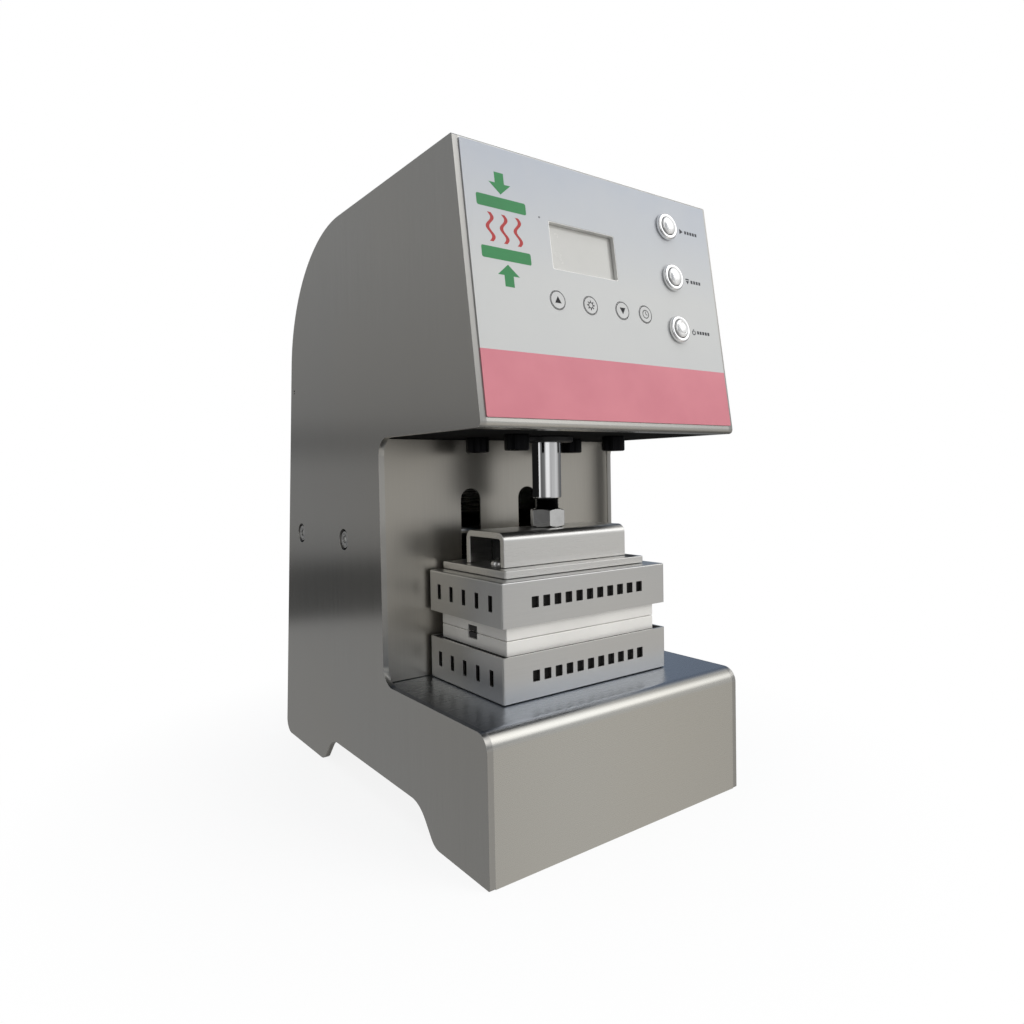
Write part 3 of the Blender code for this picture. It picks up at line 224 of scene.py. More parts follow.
def brushed(name, colour, rough, grain, anisotropy=0.6, turned=0.0, contrast=0.5, painted_sky=None, cut=0.0):
    """Steel brushed along one axis: streaks, a slow drift of tone, smudges, rubbed edges. Faces that look up
    can have a painted reflection of the sky, with painted shade at the left end, and the sheet's cut edge can
    be rougher by cut."""
    material, tree, main = shader(name, Metallic=1.0, Anisotropic=anisotropy, Anisotropic_Rotation=turned)
    along = {"X": (0.012, 1, 1), "Y": (1, 0.012, 1), "Z": (1, 1, 0.012)}[grain]
    fine = noise(tree, 4200.0, along, 2.0)
    broad = noise(tree, 520.0, along, 3.0)
    drift = noise(tree, 7.0, detail=1.0)
    smudge = noise(tree, 14.0, detail=3.0, roughness=0.5)
    streaks = maths(tree, "ADD", maths(tree, "MULTIPLY", fine, 0.65), maths(tree, "MULTIPLY", broad, 0.35))
    low, high = scaled(colour, 1 - 0.10 * contrast), scaled(colour, 1 + 0.08 * contrast)
    base = blend(tree, streaks, 0.36, 0.64, low, high)
    warm = (colour[0] * 1.02, colour[1], colour[2] * 0.97)
    base = mix(tree, remap(tree, drift, 0.35, 0.65, 0.0, 0.6), base, warm)
    if painted_sky:
        # painted reflection of the sky on faces that look up, darker towards the left end as painted shade
        painted_shade = (0.13, 0.145, 0.18)
        tone = blend(tree, axis_of(tree, place(tree), "X"), -0.103, -0.078, painted_shade, painted_sky)
        base = blend(tree, axis_of(tree, true_normal(tree), "Z"), 0.80, 0.97, base, tone)
    base = rubbed(tree, base, scaled(colour, 1.3), 0.5)
    roughness = maths(tree, "ADD", remap(tree, streaks, 0.3, 0.7, rough - 0.02, rough + 0.03),
                      remap(tree, smudge, 0.4, 0.7, 0.0, 0.012))
    if cut:
        sideways = maths(tree, "ABSOLUTE", axis_of(tree, true_normal(tree), "X"))
        roughness = maths(tree, "ADD", roughness, remap(tree, sideways, 0.3, 0.8, cut, 0.0))
    relief = bump(tree, fine, 0.000003, 0.12)
    return finish(material, main, base, roughness, relief)


def turned_metal(name, colour, rough, wear=0.5, scale=3000.0):
    """Machined metal: fine tool marks round and across it, and small dents."""
    material, tree, main = shader(name, Metallic=1.0)
    marks = noise(tree, scale, (0.2, 0.2, 1.0), 2.0)
    stain = noise(tree, 60.0, detail=5.0)
    base = blend(tree, stain, 0.3, 0.7, scaled(colour, 0.82), colour)
    base = rubbed(tree, base, scaled(colour, 1.3, 0.04), wear)
    roughness = remap(tree, marks, 0.3, 0.7, max(0.02, rough - 0.05), rough + 0.06)
    return finish(material, main, base, roughness, bump(tree, marks, 0.000005, 0.4))


def polished(name, colour, rough):
    """Chrome: nearly a mirror, with faint wipe marks."""
    material, tree, main = shader(name, Metallic=1.0)
    haze = noise(tree, 45.0, (1, 1, 0.3), 4.0)
    hairline = noise(tree, 2600.0, (1, 1, 0.03), 2.0)
    base = blend(tree, haze, 0.3, 0.7, scaled(colour, 0.93), colour)
    roughness = maths(tree, "ADD", remap(tree, haze, 0.4, 0.7, rough, rough + 0.05),
                      remap(tree, hairline, 0.55, 0.75, 0.0, 0.04))
    return finish(material, main, base, roughness, bump(tree, hairline, 0.000003, 0.2))


def milled(name, colour, rough, metallic=0.85):
    """Aluminium with the arcs of a face mill and a light bead-blasted bloom."""
    material, tree, main = shader(name, Metallic=metallic)
    rings = node(tree, "TexWave", {"Vector": place(tree), "Scale": 260.0, "Distortion": 1.2,
                                   "Detail": 2.0}, wave_type="RINGS", rings_direction="Z").outputs["Fac"]
    bloom = noise(tree, 900.0, detail=3.0)
    cloud = noise(tree, 26.0, detail=5.0)
    base = blend(tree, cloud, 0.3, 0.7, scaled(colour, 0.9), colour)
    base = mix(tree, maths(tree, "MULTIPLY", bloom, 0.25), base, scaled(colour, 1.08))
    roughness = maths(tree, "ADD", remap(tree, rings, 0.0, 1.0, rough - 0.03, rough + 0.04),
                      remap(tree, cloud, 0.4, 0.7, 0.0, 0.06))
    relief = bump(tree, rings, 0.000008, 0.25)
    return finish(material, main, base, roughness, bump(tree, bloom, 0.00001, 0.3, relief))


def moulded(name, colour, rough, grain=2200.0, relief=0.00002, worn=None, gloss=0.45):
    """Moulded plastic or rubber: spark grain, flow tone, and edges that catch the light."""
    material, tree, main = shader(name, Specular_IOR_Level=gloss)
    spark = noise(tree, grain, detail=3.0, roughness=0.7)
    flow = noise(tree, 30.0, detail=4.0)
    base = blend(tree, flow, 0.3, 0.7, scaled(colour, 0.8), colour)
    base = rubbed(tree, base, worn or scaled(colour, 1.6, 0.02), 0.6)
    roughness = remap(tree, flow, 0.3, 0.7, rough - 0.04, rough + 0.06)
    return finish(material, main, base, roughness, bump(tree, spark, relief, 0.6))


def printed_film():
    """The panel's film: satin light grey, bluer and darker at the top as a painted reflection of the sky, with
    a red band across it and a fine texture.
    """
    material, tree, main = shader("overlay_film", Specular_IOR_Level=0.5, Coat_Weight=0.25,
                                  Coat_Roughness=0.28)
    down = maths(tree, "MULTIPLY", axis_of(tree, place(tree), "Y"), -1.0)
    cloud = noise(tree, 22.0, detail=3.0)
    # painted reflection of the sky: the grey turns bluer and darker towards the top edge
    grey = blend(tree, down, 0.004, 0.075, (0.402, 0.432, 0.486), (0.520, 0.527, 0.521))
    grey = mix(tree, remap(tree, cloud, 0.35, 0.65, 0.0, 0.3), grey, (0.490, 0.500, 0.505))
    red = blend(tree, cloud, 0.35, 0.65, (0.545, 0.172, 0.212), (0.590, 0.197, 0.236))
    band = maths(tree, "MULTIPLY", maths(tree, "GREATER_THAN", down, RED_BAND[0]),
                 maths(tree, "LESS_THAN", down, RED_BAND[1]))
    grain = noise(tree, 3600.0, detail=2.0)
    feed(tree, main, Base_Color=mix(tree, band, grey, red),
         Roughness=remap(tree, grain, 0.3, 0.7, 0.36, 0.50), Normal=bump(tree, grain, 0.00001, 0.35))
    return material


def laminate(name, light, dark, scale, stretch, rough, relief):
    """A board or weave: two tones in a stretched pattern."""
    material, tree, main = shader(name)
    fibre = noise(tree, scale, stretch, 4.0, 0.6)
    fleck = noise(tree, scale * 0.3, detail=6.0)
    base = blend(tree, fibre, 0.35, 0.65, dark, light)
    base = mix(tree, remap(tree, fleck, 0.55, 0.75, 0.0, 0.5), base, dark)
    feed(tree, main, Base_Color=base, Roughness=remap(tree, fibre, 0.3, 0.7, rough - 0.06, rough + 0.06),
         Normal=bump(tree, fibre, relief, 0.5))
    return material


def pane_material():
    material, tree, main = shader("window_pane", Specular_IOR_Level=0.6, Coat_Weight=0.6, Coat_Roughness=0.05)
    haze = noise(tree, 35.0, detail=4.0)
    rib = noise(tree, 1500.0, (1.0, 0.05, 1.0), 2.0)
    base = blend(tree, haze, 0.3, 0.7, (0.430, 0.428, 0.408), (0.462, 0.460, 0.438))
    feed(tree, main, Base_Color=mix(tree, maths(tree, "MULTIPLY", rib, 0.2), base, (0.42, 0.418, 0.400)),
         Roughness=remap(tree, haze, 0.3, 0.7, 0.18, 0.30))
    return material


PAINTED_SKY_REFLECTION = (0.40, 0.43, 0.48)   # painted reflection of the sky, for sheet faces that look up

# the side plates and the base show the painted sky reflection on faces that look up, and painted shade at the
# left end
STEEL_SIDE = brushed("steel_side", (0.50, 0.495, 0.475), 0.17, "Z", 0.85, painted_sky=PAINTED_SKY_REFLECTION, cut=0.16)
STEEL_BASE = brushed("steel_base", (0.565, 0.56, 0.53), 0.27, "X", 0.1, 0.25, 0.15, PAINTED_SKY_REFLECTION)
STEEL_WRAP = brushed("steel_wrap", (0.53, 0.525, 0.50), 0.26, "X", 0.6, 0.25)
STEEL_WALL = brushed("steel_wall", (0.51, 0.49, 0.445), 0.32, "Z", 0.3)
STEEL_BRACKET = brushed("steel_bracket", (0.72, 0.715, 0.695), 0.28, "X", 0.4, 0.25, 0.2)
# matt near-black for the head plate: painted shade standing in for the shadow under the head
HEAD_SHADE_BLACK = moulded("painted_shade_black", (0.007, 0.007, 0.007), 0.90, 1400.0, 0.00002, (0.02, 0.02, 0.02), 0.12)
STEEL_CAGE = brushed("steel_cage", (0.63, 0.63, 0.62), 0.30, "X", 0.4, 0.25, 0.3)
STEEL_PLAIN = brushed("steel_plain", (0.46, 0.455, 0.44), 0.36, "Y", 0.30, 0.0, 1.4)
BRIGHT = turned_metal("machined_steel", (0.62, 0.62, 0.61), 0.20)
NUT_STEEL = turned_metal("nut_steel", (0.74, 0.74, 0.73), 0.11)
DARK_BOLT = turned_metal("black_oxide", (0.012, 0.012, 0.013), 0.36, 0.35)
CHROME = polished("chrome", (0.80, 0.80, 0.81), 0.05)
CHROME_BUTTON = polished("chrome_button", (0.95, 0.95, 0.95), 0.12)
BUTTON_CAP = milled("button_cap", (0.96, 0.96, 0.955), 0.17, 0.58)
PLATEN = milled("platen_aluminium", (0.97, 0.955, 0.915), 0.40, 0.42)
ANODISED = milled("anodised_aluminium", (0.60, 0.60, 0.60), 0.38)
FILM = printed_film()
PANE = pane_material()
FRAME = moulded("display_frame", (0.86, 0.855, 0.83), 0.5, 3000.0, 0.00001, (0.9, 0.9, 0.88))
KEY_FILM = moulded("key_film", (0.60, 0.605, 0.60), 0.40, 3600.0, 0.00001, (0.64, 0.64, 0.64))
INK = moulded("printing_ink", (0.014, 0.014, 0.016), 0.55, 5000.0, 0.000004)
INK_GREY = moulded("printing_ink_grey", (0.045, 0.046, 0.052), 0.55, 5000.0, 0.000004)
INK_GREEN = moulded("printing_ink_green", (0.045, 0.235, 0.085), 0.50, 5000.0, 0.000004)
INK_RED = moulded("printing_ink_red", (0.420, 0.045, 0.045), 0.50, 5000.0, 0.000004)
PLASTIC = moulded("moulded_black", (0.022, 0.022, 0.023), 0.42)
RUBBER = moulded("nitrile_rubber", (0.016, 0.016, 0.016), 0.68, 900.0, 0.00003)
MARK_WHITE = moulded("moulded_white_mark", (0.62, 0.62, 0.60), 0.45, 4000.0, 0.000004)
BRASS = turned_metal("nickel_brass", (0.66, 0.58, 0.38), 0.24)
SHEATH = turned_metal("heater_sheath", (0.42, 0.40, 0.37), 0.30)
# mica board, darkened as painted shade so that the cage's slots look dark
MICA_AND_SHADE = laminate("mica_board_and_painted_shade", (0.105, 0.092, 0.070), (0.060, 0.052, 0.040), 700.0, (0.25, 1, 1), 0.75,
                0.00004)
# fibre strip, coloured near black as painted shade seen through the cage's vents
FIBRE_AND_VENT_SHADE = laminate("fibre_strip_and_painted_shade", (0.030, 0.029, 0.028), (0.016, 0.015, 0.014), 1500.0, (0.3, 0.3, 1), 0.85,
                0.00006)
BOARD = laminate("circuit_board", (0.025, 0.165, 0.075), (0.012, 0.105, 0.045), 900.0, (1, 1, 1), 0.35,
                 0.000008)

# ---------------------------------------------------------------- modelling helpers


def linked(name, data):
    """A new object in the scene."""
    obj = bpy.data.objects.new(name, data)
    bpy.context.scene.collection.objects.link(obj)
    return obj


def rounded(corners, closed=True):
    """Points of a path whose corners (a, b, radius) are rounded with true arcs."""
    points = []
    count = len(corners)
    for i, (a, b, radius) in enumerate(corners):
        here = Vector((a, b))
        if radius <= 0 or (not closed and i in (0, count - 1)):
            points.append((a, b))
            continue
        before = (Vector(corners[i - 1][:2]) - here).normalized()
        after = (Vector(corners[(i + 1) % count][:2]) - here).normalized()
        half = before.angle(after) / 2
        centre = here + (before + after).normalized() * radius / sin(half)
        start = here + before * radius / tan(half) - centre
        sweep = start.angle_signed(here + after * radius / tan(half) - centre)
        step = 2 * acos(1 - min(1.0, ARC_ERROR / radius))
        steps = max(3, ceil(abs(sweep) / step))
        for k in range(steps + 1):
            spoke = Matrix.Rotation(-sweep * k / steps, 2) @ start
            points.append((centre.x + spoke.x, centre.y + spoke.y))
    return points


def rectangle(x0, y0, x1, y1, radius, upper=None):
    """A rectangle with rounded corners. The upper two can have a radius of their own."""
    upper = upper or radius
    return rounded([(x0, y0, radius), (x1, y0, radius), (x1, y1, upper), (x0, y1, upper)])


def angles(first, last, step):
    """Angles in radians, from the first to the last in degrees."""
    return [radians(t) for t in range(first, last + 1, step)]


def solid(bm):
    bmesh.ops.recalc_face_normals(bm, faces=bm.faces)
    mesh = bpy.data.meshes.new("shape")
    bm.to_mesh(mesh)
    bm.free()
    return mesh


def prism(outline, low, high, axis="X", matrix=None):
    """A closed outline carried along an axis. The outline holds the other two coordinates, in order."""
    bm = bmesh.new()
    order = {"X": lambda a, b, c: (c, a, b), "Y": lambda a, b, c: (a, c, b),
             "Z": lambda a, b, c: (a, b, c)}[axis]
    face = bm.faces.new([bm.verts.new(order(a, b, low)) for a, b in outline])
    swept = bmesh.ops.extrude_face_region(bm, geom=[face])["geom"]
    moved = [item for item in swept if isinstance(item, bmesh.types.BMVert)]
    bmesh.ops.translate(bm, vec=Vector(order(0, 0, high)) - Vector(order(0, 0, low)), verts=moved)
    if matrix:
        bm.transform(matrix)
    return solid(bm)


def block(low, high, matrix=None):
    (x0, y0, z0), (x1, y1, z1) = low, high
    return prism([(x0, y0), (x1, y0), (x1, y1), (x0, y1)], z0, z1, "Z", matrix)


def turn(profile, sides=64, matrix=None, closed=False):
    """A lathe-turned solid about Z: the (r, z) profile runs down the outer side."""
    bm = bmesh.new()
    rows = []
    for r, z in profile:
        if r < 1e-7:
            rows.append([bm.verts.new((0, 0, z))] * sides)
        else:
            rows.append([bm.verts.new((r * cos(2 * pi * k / sides),
                                       r * sin(2 * pi * k / sides), z)) for k in range(sides)])
    pairs = list(zip(rows, rows[1:])) + ([(rows[-1], rows[0])] if closed else [])
    for a, b in pairs:
        for k in range(sides):
            n = (k + 1) % sides
            corners = []
            for v in (a[k], b[k], b[n], a[n]):
                if v not in corners:
                    corners.append(v)
            if len(corners) > 2:
                bm.faces.new(corners)
    if matrix:
        bm.transform(matrix)
    return solid(bm)


def disc(radius, low, high, sides=64, matrix=None):
    """A plain cylinder about Z, or a hexagon when it has six sides."""
    return turn([(0, high), (radius, high), (radius, low), (0, low)], sides, matrix)


def tube(outer, inner, low, high, sides=64, matrix=None):
    return turn([(outer, high), (outer, low), (inner, low), (inner, high)], sides, matrix, True)


def sheet(path, half):
    """A bent sheet from -half to half along X: outer face on the path, metal to the path's left."""
    inner = []
    for i, point in enumerate(path):
        here = Vector(point)
        before = (here - Vector(path[i - 1])).normalized() if i else None
        after = (Vector(path[i + 1]) - here).normalized() if i < len(path) - 1 else None
        before, after = before or after, after or before
        normal = Vector((-before.y - after.y, before.x + after.x)).normalized()
        reach = SHEET_T / max(0.2, normal.dot(Vector((-before.y, before.x))))
        inner.append(tuple(here + normal * reach))
    return prism(path + inner[::-1], -half, half)


def combine(mesh, tools, operation="DIFFERENCE"):
    """The mesh with each tool mesh cut away, added or kept in common."""
    for tool in tools:
        other = linked("tool", tool)
        holder = linked("holder", mesh)
        modifier = holder.modifiers.new("combine", "BOOLEAN")
        modifier.operation = operation
        modifier.solver = "EXACT"
        modifier.object = other
        graph = bpy.context.evaluated_depsgraph_get()
        mesh = bpy.data.meshes.new_from_object(holder.evaluated_get(graph))
        bpy.data.objects.remove(holder)
        bpy.data.objects.remove(other)
    return mesh


def softened(mesh, width, segments=2, angle=35.0, where=None):
    """The mesh with its sharp edges rounded: all of them, or those for which where(edge) is true."""
    bm = bmesh.new()
    bm.from_mesh(mesh)
    bmesh.ops.remove_doubles(bm, verts=bm.verts, dist=WELD)
    limit = radians(angle)
    edges = [e for e in bm.edges if len(e.link_faces) == 2 and e.calc_face_angle(0) > limit
             and (where is None or where(e))]
    bmesh.ops.bevel(bm, geom=edges, offset=width, offset_type="OFFSET", segments=segments, profile=0.5,
                    affect="EDGES", clamp_overlap=True)
    return solid(bm)


def piece(name, mesh, material, body, replaces=(), matrix=None, angle=40.0):
    """Shows a mesh as one piece of the press. Given in a local frame, it keeps that frame as its own."""
    obj = linked(name, mesh)
    mesh.name = name
    mesh.materials.clear()
    mesh.materials.append(material)
    mesh.shade_smooth()
    mesh.set_sharp_from_angle(angle=radians(angle))
    weighted = obj.modifiers.new("normals", "WEIGHTED_NORMAL")
    weighted.keep_sharp = True
    weighted.weight = 100
    if matrix:
        obj.matrix_world = matrix
    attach(obj, body)
    if replaces:
        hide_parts(*replaces)


def stand_in(node_name, mesh, material, matrix=None, angle=40.0):
    """A piece that takes a CAD node's place, body and name."""
    piece(node_name + "_look", mesh, material, BODY_OF[node_name], (node_name,),
          matrix, angle)


def refined(node_name, material, width=0.0003, segments=2):
    """A CAD node's own shape, its flat faces whole again and its edges rounded."""
    bm = bmesh.new()
    bm.from_mesh(NODES[node_name].data)
    bmesh.ops.remove_doubles(bm, verts=bm.verts, dist=WELD)
    bmesh.ops.dissolve_limit(bm, angle_limit=radians(0.5), verts=bm.verts, edges=bm.edges)
    stand_in(node_name, softened(solid(bm), width, segments), material)


def at(x=0.0, y=0.0, z=0.0):
    return Matrix.Translation((x, y, z))


def centre_of(name):
    low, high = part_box(name)
    return (low + high) / 2


# ---------------------------------------------------------------- body


def side_outline():
    rear_foot = BODY_DEPTH - REAR_FOOT
    corners = [
        (0, 0, 0.001),
        (FRONT_FOOT, 0, 0.012),
        (FRONT_FOOT + ARCH_RUN, ARCH_Z, 0.022),
        (rear_foot - ARCH_RUN, ARCH_Z, 0.022),
        (rear_foot, 0, 0.012),
        (HEEL_Y, 0, HEEL_RADIUS),
        (back_y(BODY_HEIGHT), BODY_HEIGHT, BACK_ARC_RADIUS),
        (TOP_SETBACK, BODY_HEIGHT, 0.0015),
        (0, HEAD_Z, 0.003),
        (THROAT_DEPTH, HEAD_Z, 0.012),
        (THROAT_DEPTH, DECK_Z, 0.012),
        (0, DECK_Z, 0.0095),
    ]
    return shifted(rounded(corners))


def side_plates():
    for side, inward in (("left", 1), ("right", -1)):
        low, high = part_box(f"side_plate_{side}")
        outer = low.x if side == "left" else high.x
        middle = (low.x + high.x) / 2
        tools = [disc(BOLT_HOLE_R, -0.004, 0.004, 64, at(middle, y, BOLT_Z) @ QUARTER)
                 for y in BOLT_YS.values()]
        tools.append(disc(0.0017, -0.0014, 0.0014, 32, at(outer, *EDGE_SCREW) @ QUARTER))
        mesh = combine(prism(side_outline(), low.x, high.x), tools)
        mesh = softened(mesh, 0.00035, 3,
                        where=lambda e: all(abs(v.co.x - outer) < 0.00001 for v in e.verts))
        stand_in(f"side_plate_{side}", mesh, STEEL_SIDE)
        head = turn([(0, 0.0005), (0.0010, 0.0005), (0.0013, 0.0003), (0.0013, -0.0004), (0, -0.0004)], 32)
        head = combine(head, [block((-0.002, -0.00018, 0.0001), (0.002, 0.00018, 0.001))])
        outward = Matrix.Rotation(-inward * pi / 2, 4, "Y")
        head.transform(at(outer + inward * 0.0010, *EDGE_SCREW) @ outward)
        piece(f"edge_screw_{side}", head, BRIGHT, "body")


def shifted(path, by=FRONT_Y):
    return [(y + by, z) for y, z in path]


def panel_holes(foot, matrix=Matrix()):
    """Tools for the round holes of the keys and push buttons, in the panel's frame or set by a matrix."""
    places = [(x, KEY_S, 0.006) for x in KEY_XS] + [(BUTTON_X, s, 0.0081) for s in BUTTON_SS]
    return [disc(r, foot, 0.003, 64, matrix @ at(x, -s)) for x, s, r in places]


def body_sheets():
    path = rounded([(0, 0, 0), (0, DECK_Z, 0.0095), (THROAT_DEPTH + 0.006, DECK_Z, 0)], closed=False)
    stand_in("base_cover", sheet(shifted(path)[::-1], SHEET_HALF), STEEL_BASE)

    path = rounded([(TOP_SETBACK + PANEL_FLANGE, BODY_HEIGHT, 0), (TOP_SETBACK, BODY_HEIGHT, 0.0015),
                    (0, HEAD_Z, 0.003), (PANEL_FLANGE, HEAD_Z, 0)], closed=False)
    window = block((WINDOW_X[0], -WINDOW_S[1], -0.004), (WINDOW_X[1], -WINDOW_S[0], 0.003), PANEL)
    mesh = combine(sheet(shifted(path), SHEET_HALF), [window] + panel_holes(-0.004, PANEL))
    stand_in("control_panel", mesh, STEEL_WRAP)

    end_z = HEEL_RADIUS * (1 + sin(BACK_LEAN)) + 0.001
    path = rounded([(TOP_SETBACK + PANEL_FLANGE + SEAM, BODY_HEIGHT, 0),
                    (back_y(BODY_HEIGHT), BODY_HEIGHT, BACK_ARC_RADIUS), (back_y(end_z), end_z, 0)],
                   closed=False)
    tools = [block((u - a, REAR_V - b, -0.004), (u + a, REAR_V + b, 0.004), BACK)
             for u, a, b in ((INLET_U, 0.0138, 0.0103), (SWITCH_U, 0.0069, 0.0103))]
    tools.append(disc(0.0068, -0.004, 0.004, 48, BACK @ at(*NIPPLE)))
    stand_in("top_back_cover", combine(sheet(shifted(path)[::-1], SHEET_HALF), tools), STEEL_WRAP)


def throat_wall():
    low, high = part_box("throat_wall")
    mesh = block((-SHEET_HALF, low.y, low.z), (SHEET_HALF, high.y, high.z))
    r = 0.0083
    for x in (-0.0331, 0.0178):
        slot = rectangle(x - r, 0.128, x + r, 0.213, r * 0.999)
        mesh = combine(mesh, [prism(slot, low.y - 0.002, high.y + 0.002, "Y")])
    stand_in("throat_wall", softened(mesh, 0.00025), STEEL_WALL)


def inner_plates():
    refined("bottom_plate", STEEL_PLAIN)
    # the head plate in matt black, painted shade for its underside
    refined("head_plate", HEAD_SHADE_BLACK, 0.0004)
    bore, depth, edge = 0.0043, 0.022, 0.0006
    for name in ("cross_bar_front", "cross_bar_rear"):
        low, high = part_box(name)
        r, half = (high.z - low.z) / 2, (high.x - low.x) / 2
        profile = [(bore, half), (r - edge, half), (r, half - edge), (r, edge - half), (r - edge, -half),
                   (bore, -half), (bore, depth - half), (0, depth - half), (0, half - depth),
                   (bore, half - depth)]
        stand_in(name, turn(profile, 48, at(*centre_of(name)) @ QUARTER, True), BRIGHT)


def socket_screw(name, matrix, head_r, head_t, shank_r, length, material, knurl=0):
    """A socket head screw: head above z = 0, domed a little at the rim, with a countersunk hexagon socket."""
    edge = head_r * 0.12
    profile = [(0, head_t), (head_r - edge, head_t), (head_r - edge * 0.3, head_t - edge * 0.3),
               (head_r, head_t - edge), (head_r, edge * 0.4), (head_r - edge * 0.4, 0), (shank_r, 0),
               (shank_r, 0.0004 - length), (shank_r - 0.0004, -length), (0, -length)]
    mesh = turn(profile, 96 if knurl else 48)
    for v in mesh.vertices if knurl else ():
        if hypot(v.co.x, v.co.y) > head_r - 0.00001:
            wave = 1 - 0.022 * (0.5 - 0.5 * cos(knurl * atan2(v.co.y, v.co.x)))
            v.co.x *= wave
            v.co.y *= wave
    mouth = turn([(0, head_t + 0.0005), (head_r * 0.56, head_t + 0.0005), (head_r * 0.56, head_t),
                  (head_r * 0.46, head_t - head_r * 0.06), (0, head_t - head_r * 0.06)], 48)
    mesh = combine(mesh, [disc(head_r * 0.52, head_t * 0.42, head_t + 0.001, 6), mouth])
    mesh.transform(matrix)
    stand_in(name, mesh, material)


def side_bolts():
    for side, sign in (("left", -1), ("right", 1)):
        for spot, y in BOLT_YS.items():
            matrix = at(sign * PLATE_INNER_X, y, BOLT_Z) @ Matrix.Rotation(sign * pi / 2, 4, "Y")
            socket_screw(f"side_bolt_{side}_{spot}", matrix, 0.0062, 0.0034, 0.004, 0.020, BRIGHT)
            washer = tube(0.0077, 0.0064, 0.0001, 0.0009)
            washer.transform(matrix)
            piece(f"side_washer_{side}_{spot}", washer, RUBBER, "body")


# ---------------------------------------------------------------- control panel


def panel_overlay():
    mesh = prism(rectangle(-0.101, 0.0055 - PANEL_LENGTH, 0.1024, -0.0018, 0.0008), 0.00005, OVERLAY_TOP, "Z")
    window = rectangle(WINDOW_X[0], -WINDOW_S[1], WINDOW_X[1], -WINDOW_S[0], 0.001)
    tools = [prism(window, -0.001, 0.003, "Z")] + panel_holes(-0.001)
    stand_in("panel_overlay", softened(combine(mesh, tools), 0.00012), FILM, PANEL)


def display_window():
    low = (WINDOW_X[0] - 0.003, -WINDOW_S[1] - 0.003, -0.0038)
    high = (WINDOW_X[1] + 0.003, -WINDOW_S[0] + 0.003, -0.0023)
    stand_in("display_lens", softened(block(low, high), 0.0003), PANE, PANEL)
    shapes = []
    for inset, z0, z1 in ((0.00006, -0.0022, OVERLAY_TOP - 0.0001), (0.0005, -0.004, 0.002)):
        outline = rectangle(WINDOW_X[0] + inset, -WINDOW_S[1] + inset,
                            WINDOW_X[1] - inset, -WINDOW_S[0] - inset, 0.001)
        shapes.append(prism(outline, z0, z1, "Z"))
    border = softened(combine(shapes[0], shapes[1:]), 0.00012, 2, 50.0)
    piece("display_frame", border, FRAME, "body", matrix=PANEL)


def flat(points, z):
    """A thin printed shape, INK_T high, on the plane z."""
    return prism(points, z, z + INK_T, "Z")


def ring(radius, width, z, x=0.0, y=0.0, sides=72):
    return tube(radius + width / 2, radius - width / 2, z, z + INK_T, sides, at(x, y))


def arc_strip(radius, width, start, end, z, x, y):
    turns = [radians(start + (end - start) * k / 24) for k in range(25)]
    outer, inner = ([(x + r * cos(t), y + r * sin(t)) for t in turns]
                    for r in (radius + width / 2, radius - width / 2))
    return flat(outer + inner[::-1], z)


def bar(x0, y0, x1, y1, width, z):
    start, end = Vector((x0, y0)), Vector((x1, y1))
    side = (end - start).normalized().orthogonal() * width / 2
    return flat([tuple(start + side), tuple(end + side), tuple(end - side), tuple(start - side)], z)


def joined(meshes):
    bm = bmesh.new()
    for mesh in meshes:
        bm.from_mesh(mesh)
    return solid(bm)


def printed(name, shapes, material, matrix=PANEL, body="body"):
    """Thin shapes of one colour, shown as one piece."""
    piece(name, joined(shapes), material, body, matrix=matrix, angle=30.0)


def key_icon(name, z):
    if name == "key_up":
        return [flat([(-0.0024, -0.0018), (0.0024, -0.0018), (0, 0.0024)], z)]
    if name == "key_down":
        return [flat([(-0.0024, 0.0018), (0.0024, 0.0018), (0, -0.0024)][::-1], z)]
    if name == "key_set":
        spokes = [(cos(t), sin(t)) for t in angles(0, 315, 45)]
        return [ring(0.0017, 0.0006, z)] + [bar(0.0021 * a, 0.0021 * b, 0.0030 * a, 0.0030 * b, 0.0007, z)
                                            for a, b in spokes]
    return [ring(0.0026, 0.0005, z), bar(0, 0, 0, 0.0018, 0.0005, z), bar(0, 0, 0.0013, -0.0006, 0.0005, z)]


def keys():
    r, top = 0.0057, OVERLAY_TOP + 0.0004
    profile = [(r * k / 8, top - 0.00012 * (k / 8) ** 2) for k in range(8)]
    profile += [(r - 0.0002, top - 0.00014), (r - 0.00006, top - 0.0002), (r, top - 0.00035), (r, -0.0024),
                (0.007, -0.0024), (0.007, -0.0034), (0.002, -0.0034), (0.002, -0.0070), (0, -0.0070)]
    for name, x in zip(("key_up", "key_set", "key_down", "key_timer"), KEY_XS):
        matrix = PANEL @ at(x, -KEY_S)
        stand_in(name, turn(profile, 72), KEY_FILM, matrix)
        shapes = [ring(0.0050, 0.0010, top - 0.00013)] + key_icon(name, top - 0.00002)
        printed(name + "_print", shapes, INK, matrix, BODY_OF[name])


